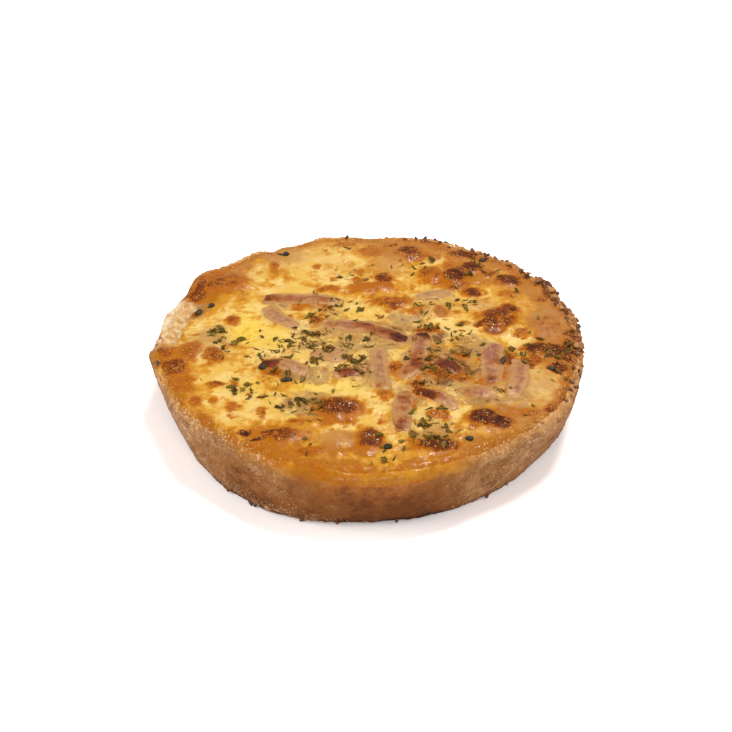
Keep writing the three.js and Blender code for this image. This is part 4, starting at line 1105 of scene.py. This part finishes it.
HERB_SHAPES = [  # width, curl, twist, and how far the outline leaves an oval
    (0.3, 1.4, 0.5, 0.45), (0.2, 2, -0.9, 0.5), (0.36, -1.2, 0.9, 0.5), (0.24, 2.6, 0.4, 0.4),
    (0.42, 0.8, -1.3, 0.55), (0.15, -1.5, 1.2, 0.5), (0.32, -2.2, -0.6, 0.5), (0.12, 1, 1.6, 0.5),
]


def leaf_scrap(number, width, curl, twist, ragged):
    """A scrap of leaf 1 mm long, closed, and curled about its length."""
    lines, across, thick = 5, 3, 0.10
    draws = np.random.default_rng(number)
    top, low = [], []
    for i in range(lines):
        s = -0.5 + i / (lines - 1)
        half = 0.5 * width * math.sqrt(max(0.10, 1 - (1.9 * s) ** 2))
        half = half * (1 + ragged * draws.uniform(-1, 1))
        sway = 0.35 * twist * (s * s - 0.08)
        for j in range(across):
            t = (j - 1) * half
            lift = curl * t * t / width + twist * s * t + 0.2 * curl * s * s
            lift = lift + 0.03 * draws.uniform(-1, 1)
            top.append((s + 0.05 * draws.uniform(-1, 1), t + sway, lift + thick / 2))
            low.append((top[-1][0], t + sway, lift - thick / 2))

    def at(i, j, side):
        rim = i in (0, lines - 1) or j in (0, across - 1)
        return i * across + j + (0 if side == 0 or rim else lines * across)

    found = []
    for i in range(lines - 1):
        for j in range(across - 1):
            found.append((at(i, j, 0), at(i + 1, j, 0), at(i + 1, j + 1, 0), at(i, j + 1, 0)))
            found.append((at(i, j, 1), at(i, j + 1, 1), at(i + 1, j + 1, 1), at(i + 1, j, 1)))
    made = new_mesh_object("leaf_scrap_%d" % number, top + low, found)
    tidy = bmesh.new()
    tidy.from_mesh(made.data)
    bmesh.ops.delete(tidy, geom=[v for v in tidy.verts if not v.link_faces], context="VERTS")
    tidy.to_mesh(made.data)
    tidy.free()
    return made


def scraps_kept(name, made):
    """A collection that holds the shapes to be scattered."""
    kept = bpy.data.collections.new(name)
    for each in made:
        scene.collection.objects.unlink(each)
        kept.objects.link(each)
    return kept


def field(tree, name, kind="FLOAT"):
    node = add_node(tree, "GeometryNodeInputNamedAttribute", {"Name": name}, data_type=kind)
    return node.outputs["Attribute"]


def random_between(tree, low, high, seed, kind="FLOAT"):
    """A random value or vector for each scattered scrap."""
    first, second, result = {"FLOAT": (2, 3, 1), "FLOAT_VECTOR": (0, 1, 0)}[kind]
    ends = {first: low, second: high, 8: seed}
    return add_node(tree, "FunctionNodeRandomValue", ends, data_type=kind).outputs[result]


def shapes_from(tree, collection):
    """The shapes of a collection, each on its own, for a scatter to pick from."""
    return add_node(tree, "GeometryNodeCollectionInfo", {
        "Collection": collection, "Separate Children": True, "Reset Children": True}).outputs[0]


def new_scatter(name, inputs):
    """A geometry node group with named sockets; gives the group, its inputs and its way out."""
    tree = bpy.data.node_groups.new(name, "GeometryNodeTree")
    tree.interface.new_socket("Geometry", in_out="INPUT", socket_type="NodeSocketGeometry")
    for label, kind in inputs:
        tree.interface.new_socket(label, in_out="INPUT", socket_type=kind)
    tree.interface.new_socket("Geometry", in_out="OUTPUT", socket_type="NodeSocketGeometry")
    return tree, tree.nodes.new("NodeGroupInput").outputs, tree.nodes.new("NodeGroupOutput").inputs


def finish_scatter(tree, given, result, instances):
    """Gives each scrap its shade, makes the scraps real and lays their material on."""
    shade = random_between(tree, 0.0, 1.0, given["Seed"])
    shaded = add_node(
        tree, "GeometryNodeStoreNamedAttribute",
        {"Geometry": instances, "Name": "shade", "Value": shade},
        data_type="FLOAT", domain="INSTANCE")
    real = add_node(tree, "GeometryNodeRealizeInstances", {"Geometry": shaded.outputs[0]})
    laid = add_node(tree, "GeometryNodeSetMaterial", {
        "Geometry": real.outputs[0], "Material": given["Material"]})
    tree.links.new(laid.outputs[0], result["Geometry"])


def scattered(name, tree, bed, values):
    """What a scatter makes on a bed, as a plain mesh object of its own."""
    maker = bed.modifiers.new(name, "NODES")
    maker.node_group = tree
    for item in tree.interface.items_tree:
        if item.in_out == "INPUT" and item.name in values:
            maker[item.identifier] = values[item.name]
    bpy.context.view_layer.update()
    seen = bed.evaluated_get(bpy.context.evaluated_depsgraph_get())
    made = placed(name, bpy.data.meshes.new_from_object(seen))
    bed.modifiers.remove(maker)
    made.data.shade_smooth()
    return made


def clear_away(beds, shapes):
    """Removes what a scatter stood on, and the shapes that it took."""
    for each in beds + list(shapes.objects):
        bpy.data.objects.remove(each)
    bpy.data.collections.remove(shapes)


def keep_inside(made):
    """Presses in whatever would stand out beyond the quiche."""
    places = np.array([v.co for v in made.data.vertices])
    places = np.clip(places, np.array(cad_box[0]) + (5e-5, 5e-5, 0), np.array(cad_box[1]) - 5e-5)
    made.data.vertices.foreach_set("co", places.ravel())


# Laying: scraps at given points, each with its own turn and size.
laying, given, result = new_scatter(
    "Laying", [("Scraps", "NodeSocketCollection"), ("Seed", "NodeSocketInt"),
               ("Material", "NodeSocketMaterial")])
turned_to = add_node(
    laying, "FunctionNodeEulerToRotation", {"Euler": field(laying, "turned", "FLOAT_VECTOR")})
laid = add_node(laying, "GeometryNodeInstanceOnPoints", {
    "Points": given["Geometry"], "Instance": shapes_from(laying, given["Scraps"]),
    "Pick Instance": True, "Rotation": turned_to.outputs[0],
    "Scale": field(laying, "sized", "FLOAT_VECTOR")})
finish_scatter(laying, given, result, laid.outputs[0])

# Scattering: scraps strewn over a surface as thickly as one of its attributes says.
strewing, given, result = new_scatter(
    "Strewing",
    [("Scraps", "NodeSocketCollection"), ("Where", "NodeSocketString"),
     ("Thickly", "NodeSocketFloat"), ("Smallest", "NodeSocketFloat"),
     ("Largest", "NodeSocketFloat"), ("Lean", "NodeSocketFloat"), ("Seed", "NodeSocketInt"),
     ("Material", "NodeSocketMaterial")])
thickly = times(strewing, field(strewing, given["Where"]), given["Thickly"])
strewn = add_node(strewing, "GeometryNodeDistributePointsOnFaces", {
    "Mesh": given["Geometry"], "Density": thickly, "Seed": given["Seed"]}).outputs
lean = add_node(
    strewing, "ShaderNodeCombineXYZ", {0: given["Lean"], 1: given["Lean"], 2: math.pi}).outputs[0]
lean_back = add_node(
    strewing, "ShaderNodeVectorMath", {0: lean, "Scale": -1.0}, operation="SCALE").outputs[0]
swing = random_between(strewing, lean_back, lean, given["Seed"], "FLOAT_VECTOR")
swing = add_node(strewing, "FunctionNodeEulerToRotation", {"Euler": swing}).outputs[0]
turn = add_node(strewing, "FunctionNodeRotateRotation", {
    "Rotation": strewn["Rotation"], "Rotate By": swing}, rotation_space="LOCAL").outputs[0]
size = random_between(strewing, given["Smallest"], given["Largest"], given["Seed"])
laid = add_node(strewing, "GeometryNodeInstanceOnPoints", {
    "Points": strewn["Points"], "Instance": shapes_from(strewing, given["Scraps"]),
    "Pick Instance": True, "Rotation": turn, "Scale": size})
finish_scatter(strewing, given, result, laid.outputs[0])

LEAF_COLOURS = [
    (0.0, linear(104, 82, 26)), (0.2, linear(136, 110, 44)), (0.4, linear(86, 66, 22)),
    (0.55, linear(148, 120, 54)), (0.68, linear(72, 54, 20)), (0.8, linear(122, 106, 40)),
    (0.9, linear(116, 70, 22)), (1.0, linear(158, 128, 62)),
]
dried_leaf, tree, shader = new_material(
    "dried herb leaf", {"Roughness": 0.7, "Specular IOR Level": 0.05})
shade = add_node(tree, "ShaderNodeAttribute", attribute_name="shade").outputs["Fac"]
leaf = add_node(tree, "ShaderNodeValToRGB", {"Fac": shade})
leaf.color_ramp.elements.remove(leaf.color_ramp.elements[1])
for at, leaf_colour in LEAF_COLOURS:
    stop = leaf.color_ramp.elements[0] if at == 0 else leaf.color_ramp.elements.new(at)
    stop.color = leaf_colour
patch = patches(tree, (1400, 3), 0.35, 0.7, 0.0, 0.5)
leaf_look = tint(tree, patch, leaf.outputs["Color"], linear(132, 104, 42))
dress(tree, shader, {"Base Color": leaf_look}, object_noise(tree, 2600, 3), 0.6, 0.0001)

# The larger scraps, each clear of the ham and of the others.
ham_seen = KDTree(sum(len(strip.data.vertices) for strip in strips))
for strip in strips:
    for v in strip.data.vertices:
        ham_seen.insert((1000 * v.co.x, 1000 * v.co.y, 0), v.index)
ham_seen.balance()
draw_state = HERB_SEED


def draw():
    """The next of a fixed run of draws, each from 0 to 1."""
    global draw_state
    draw_state = (draw_state * DRAW_FACTOR + DRAW_STEP) % DRAW_RANGE
    return draw_state / DRAW_RANGE


skin_tree = tree_of(skin_points, skin_faces)
flakes = []
for x, y, spread, count in HERB_PLACES:
    still_to_lay = count
    for _ in range(FLAKE_TRIES):
        if still_to_lay == 0:
            break
        angle, far = 2 * math.pi * draw(), spread * math.sqrt(-math.log(1 - 0.9 * draw()))
        turn, size, tilt = math.pi * draw(), draw(), draw() - 0.5
        fx, fy = x + far * math.cos(angle), y + far * math.sin(angle)
        long = mix(*FLAKE_LONG, size)
        near = any(math.hypot(fx - f[0], fy - f[1]) < FLAKE_ROOM + long / 2 for f in flakes)
        at_ham = ham_seen.find((fx, fy, 0))[2] < long / 2 + FLAKE_FROM_HAM
        if near or at_ham or math.hypot(fx, fy) > FLAKES_REACH:
            continue
        flakes.append((fx, fy, turn, long, mix(*FLAKE_WIDE, size), tilt))
        still_to_lay -= 1
herb_shapes = scraps_kept(
    "leaf scraps", [leaf_scrap(k, *shape) for k, shape in enumerate(HERB_SHAPES)])
flake_places, flake_turns, flake_sizes = [], [], []
for fx, fy, turn, long, across, tilt in flakes:
    hit, way = seen_from_above(skin_tree, fx, fy)
    flake_places.append((fx, fy, hit.z + 0.05))
    flake_turns.append((0.3 * tilt - 0.3 * way.y, 0.3 * way.x + 0.15 * tilt, turn))
    flake_sizes.append((0.9 * long, across / 0.5, 1.3))
flake_bed = new_mesh_object("flake_bed", flake_places, [])
keep_values(flake_bed, "turned", flake_turns)
keep_values(flake_bed, "sized", flake_sizes)
herbs = [scattered("herb_flakes", laying, flake_bed, {
    "Scraps": herb_shapes, "Seed": 3, "Material": dried_leaf})]

# The finer ones, strewn over the skin and the upper faces of the ham.
bed_points = [skin_points * MM]
bed_faces, shift = list(skin_faces), len(skin_points)
for strip in strips:
    bed_points.append(np.array([v.co for v in strip.data.vertices]))
    bed_faces += [
        tuple(v + shift for v in p.vertices) for p in strip.data.polygons if p.normal.z > 0.5]
    shift += len(strip.data.vertices)
bed_points = np.concatenate(bed_points) / MM
herb_bed = new_mesh_object("herb_bed", bed_points, bed_faces)
x, y = bed_points[:, 0], bed_points[:, 1]
thick = sum(
    weight / spread ** 2 * np.exp(-((x - px) ** 2 + (y - py) ** 2) / spread ** 2)
    for px, py, spread, weight in HERBS_THICK)
thick *= smoothstep(np.hypot(x, y), HERBS_REACH[1], HERBS_REACH[0])
thick *= 0.35 + 1.3 * smoothstep(grain(np.stack([x, y, 0 * x], axis=-1), 0.25, 2, 71), -0.15, 0.4)
thick[len(skin_points):] *= 0.5  # fewer on the ham
keep_values(herb_bed, "herbs", thick)
for name, smallest, largest, lean, seed in HERBS_STREWN:
    herbs.append(scattered(name, strewing, herb_bed, {
        "Scraps": herb_shapes, "Where": "herbs", "Thickly": HERBS_THICKLY, "Smallest": smallest,
        "Largest": largest, "Lean": lean, "Seed": seed, "Material": dried_leaf}))
for made in herbs:
    keep_inside(made)
    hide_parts("filling")
    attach(made, "root")
clear_away([flake_bed, herb_bed], herb_shapes)

# ---- The dark grains ----
# A few whole grains of pepper and burnt leaf buds, black-blue and wrinkled, each pressed into the
# skin by its own weight.
DARK_GRAINS = [  # place, length, width and direction
    (-52.6, 18.6, 3.2, 1.8, 80), (-49, 22.2, 2.6, 1.9, 70), (-31, -14.6, 2.5, 2.3, 0),
    (-26.9, 52, 2.2, 2, 0), (5.6, -52.6, 2.4, 2, 10), (28.2, -48.6, 2.3, 1.8, 0),
    (-23.8, -20.2, 3.6, 1.9, 5), (40, -11, 3.6, 1.6, 75), (37.2, 48, 2.4, 1.8, 20),
    (-46, -1.4, 1.6, 1.2, 0), (54, -15, 3, 1.6, 0),
]
GRAIN_CREASED = 0.22
GRAIN_HEIGHT = 0.36  # from its middle to its top, as a share of its width
GRAIN_LIFT = 0.15
pepper, tree, shader = new_material(
    "dark wrinkled grain", {"Roughness": 0.6, "Specular IOR Level": 0.15})
skin_of_grain = patches(tree, (900, 4), 0.35, 0.7)
black = tint(tree, skin_of_grain, linear(36, 30, 20), linear(78, 68, 44))
dress(tree, shader, {"Base Color": black}, object_noise(tree, 1500, 3), 0.8, 0.0002)
grains_made = bmesh.new()
for gx, gy, long, across, turn in DARK_GRAINS:
    level = seen_from_above(skin_tree, gx, gy)[0].z + GRAIN_LIFT
    ball = bmesh.ops.create_icosphere(grains_made, subdivisions=3, radius=1)["verts"]
    turned_by = math.radians(turn)
    for v in ball:
        wrinkle = noise.fractal(v.co * 1.6 + Vector((gx, gy, 0)), 0.8, 2.0, 3)
        crease = 1 + GRAIN_CREASED * wrinkle
        px, py = v.co.x * crease * long / 2, v.co.y * crease * across / 2
        pz = v.co.z * crease * across * GRAIN_HEIGHT
        spot = (gx + px * math.cos(turned_by) - py * math.sin(turned_by),
                gy + px * math.sin(turned_by) + py * math.cos(turned_by), level + pz)
        v.co = Vector(spot) * MM
dark_grains = placed("dark_grains", bpy.data.meshes.new("dark_grains"))
grains_made.to_mesh(dark_grains.data)
grains_made.free()
dark_grains.data.shade_smooth()
dark_grains.data.materials.append(pepper)
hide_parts("filling")
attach(dark_grains, "root")

# ---- The crumbs of the rim ----
# Where the rim was thin it has broken up in the oven: hard crumbs of pastry and cheese, toasted
# brown to black, stand on its edge on the right and at the back.
# Where they lie thick, under the wall and along the rim: direction, spread and share.
CRUMBS_UNDER = [(214, 14, 0.6), (240, 10, 0.8), (258, 5, 1), (276, 8, 0.4), (300, 8, 0.5)]
CRUMBS_ALONG = [
    (6, 20, 1.3), (28, 6, 1.3), (50, 12, 0.7), (72, 10, 0.45), (94, 8, 0.2), (184, 7, 0.3),
    (334, 12, 0.25),
]
LARGE_CRUMBS = [  # place, turn about each axis in radians, and size along each
    (54.6, 34, 23.2, 0.5, 0.2, 0.9, 4, 2.2, 2.6), (51.2, 38.4, 23, 0.2, 0.6, 2, 3, 2, 2),
    (58, 28.6, 22.8, 0.8, 0.1, 0.4, 2.8, 2.2, 2.2), (61.4, 17, 22.6, 0.3, 0.5, 1.4, 2.6, 1.8, 2.2),
    (62.6, 6.4, 22.6, 0.1, 0.9, 0.2, 3, 2.2, 2.2), (62.4, -2.8, 22.6, 0.6, 0.3, 1.1, 3.2, 2.2, 2.2),
    (45.6, 44.6, 22.8, 0.4, 0.7, 2.4, 2.6, 1.6, 1.8),
    (36, 52.4, 22.6, 0.2, 0.3, 0.6, 2.8, 1.6, 1.8),
]
CRUMB_SHAPES = 6
CRUMB_LONGER = (0.9, 1.5)
CRUMB_CORNER = (0.4, 1.35)  # how far a corner stands out, as a share
CRUMB_FLATNESS = 0.65


def crumb_shape(number):
    """A hard crumb about 1 mm across, with corners."""
    lump = bmesh.new()
    bmesh.ops.create_icosphere(lump, subdivisions=1, radius=0.5)
    draws = np.random.default_rng(100 + number)
    longer = draws.uniform(*CRUMB_LONGER)
    for v in lump.verts:
        v.co = v.co * draws.uniform(*CRUMB_CORNER) * MM
        v.co.x *= longer
        v.co.z *= CRUMB_FLATNESS
    made = placed("crumb_shape_%d" % number, bpy.data.meshes.new("crumb_shape"))
    lump.to_mesh(made.data)
    lump.free()
    return made


crumb_shapes = scraps_kept("crumb shapes", [crumb_shape(k) for k in range(CRUMB_SHAPES)])
toasted, tree, shader = new_material(
    "toasted crumb", {"Roughness": 0.5, "Specular IOR Level": 0.25})
shade = add_node(tree, "ShaderNodeAttribute", attribute_name="shade").outputs["Fac"]
toast = tint(tree, rise(tree, shade, 0.1, 0.7), linear(210, 148, 70), linear(156, 94, 40))
toast = tint(tree, rise(tree, shade, 0.55, 0.9), toast, linear(84, 38, 22))
toast = tint(tree, patches(tree, (1500, 3), 0.4, 0.7, 0.0, 0.5), toast, linear(170, 100, 40))
tree.links.new(toast, shader.inputs["Base Color"])
along_rim = np.clip(bells(turn_at, CRUMBS_ALONG), 0, 1.3) * smoothstep(row_at, 8.0, 8.8)
along_rim = along_rim * (1 - smoothstep(row_at, 10.5, 12))
along_foot = 0.2 * np.clip(bells(turn_at, CRUMBS_UNDER), 0, 1) * smoothstep(row_at, 2.6, 3.2)
along_foot = along_foot * (1 - smoothstep(row_at, 3.6, 5))
crumb_bed = placed("crumb_bed", pastry_shell.data.copy())
keep_values(crumb_bed, "crumbs", np.concatenate([along_rim + along_foot, [0, 0]]))
rim_crumbs = scattered("rim_crumbs", strewing, crumb_bed, {
    "Scraps": crumb_shapes, "Where": "crumbs", "Thickly": 0.5e6, "Smallest": 0.5, "Largest": 1.9,
    "Lean": 1.0, "Seed": 14, "Material": toasted})
large_crumb_bed = new_mesh_object("large_crumb_bed", [row[:3] for row in LARGE_CRUMBS], [])
keep_values(large_crumb_bed, "turned", [row[3:6] for row in LARGE_CRUMBS])
keep_values(large_crumb_bed, "sized", [row[6:] for row in LARGE_CRUMBS])
large_crumbs = scattered("large_crumbs", laying, large_crumb_bed, {
    "Scraps": crumb_shapes, "Seed": 6, "Material": toasted})
for made in (large_crumbs, rim_crumbs):
    keep_inside(made)
    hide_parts("crust")
    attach(made, "root")
clear_away([crumb_bed, large_crumb_bed], crumb_shapes)
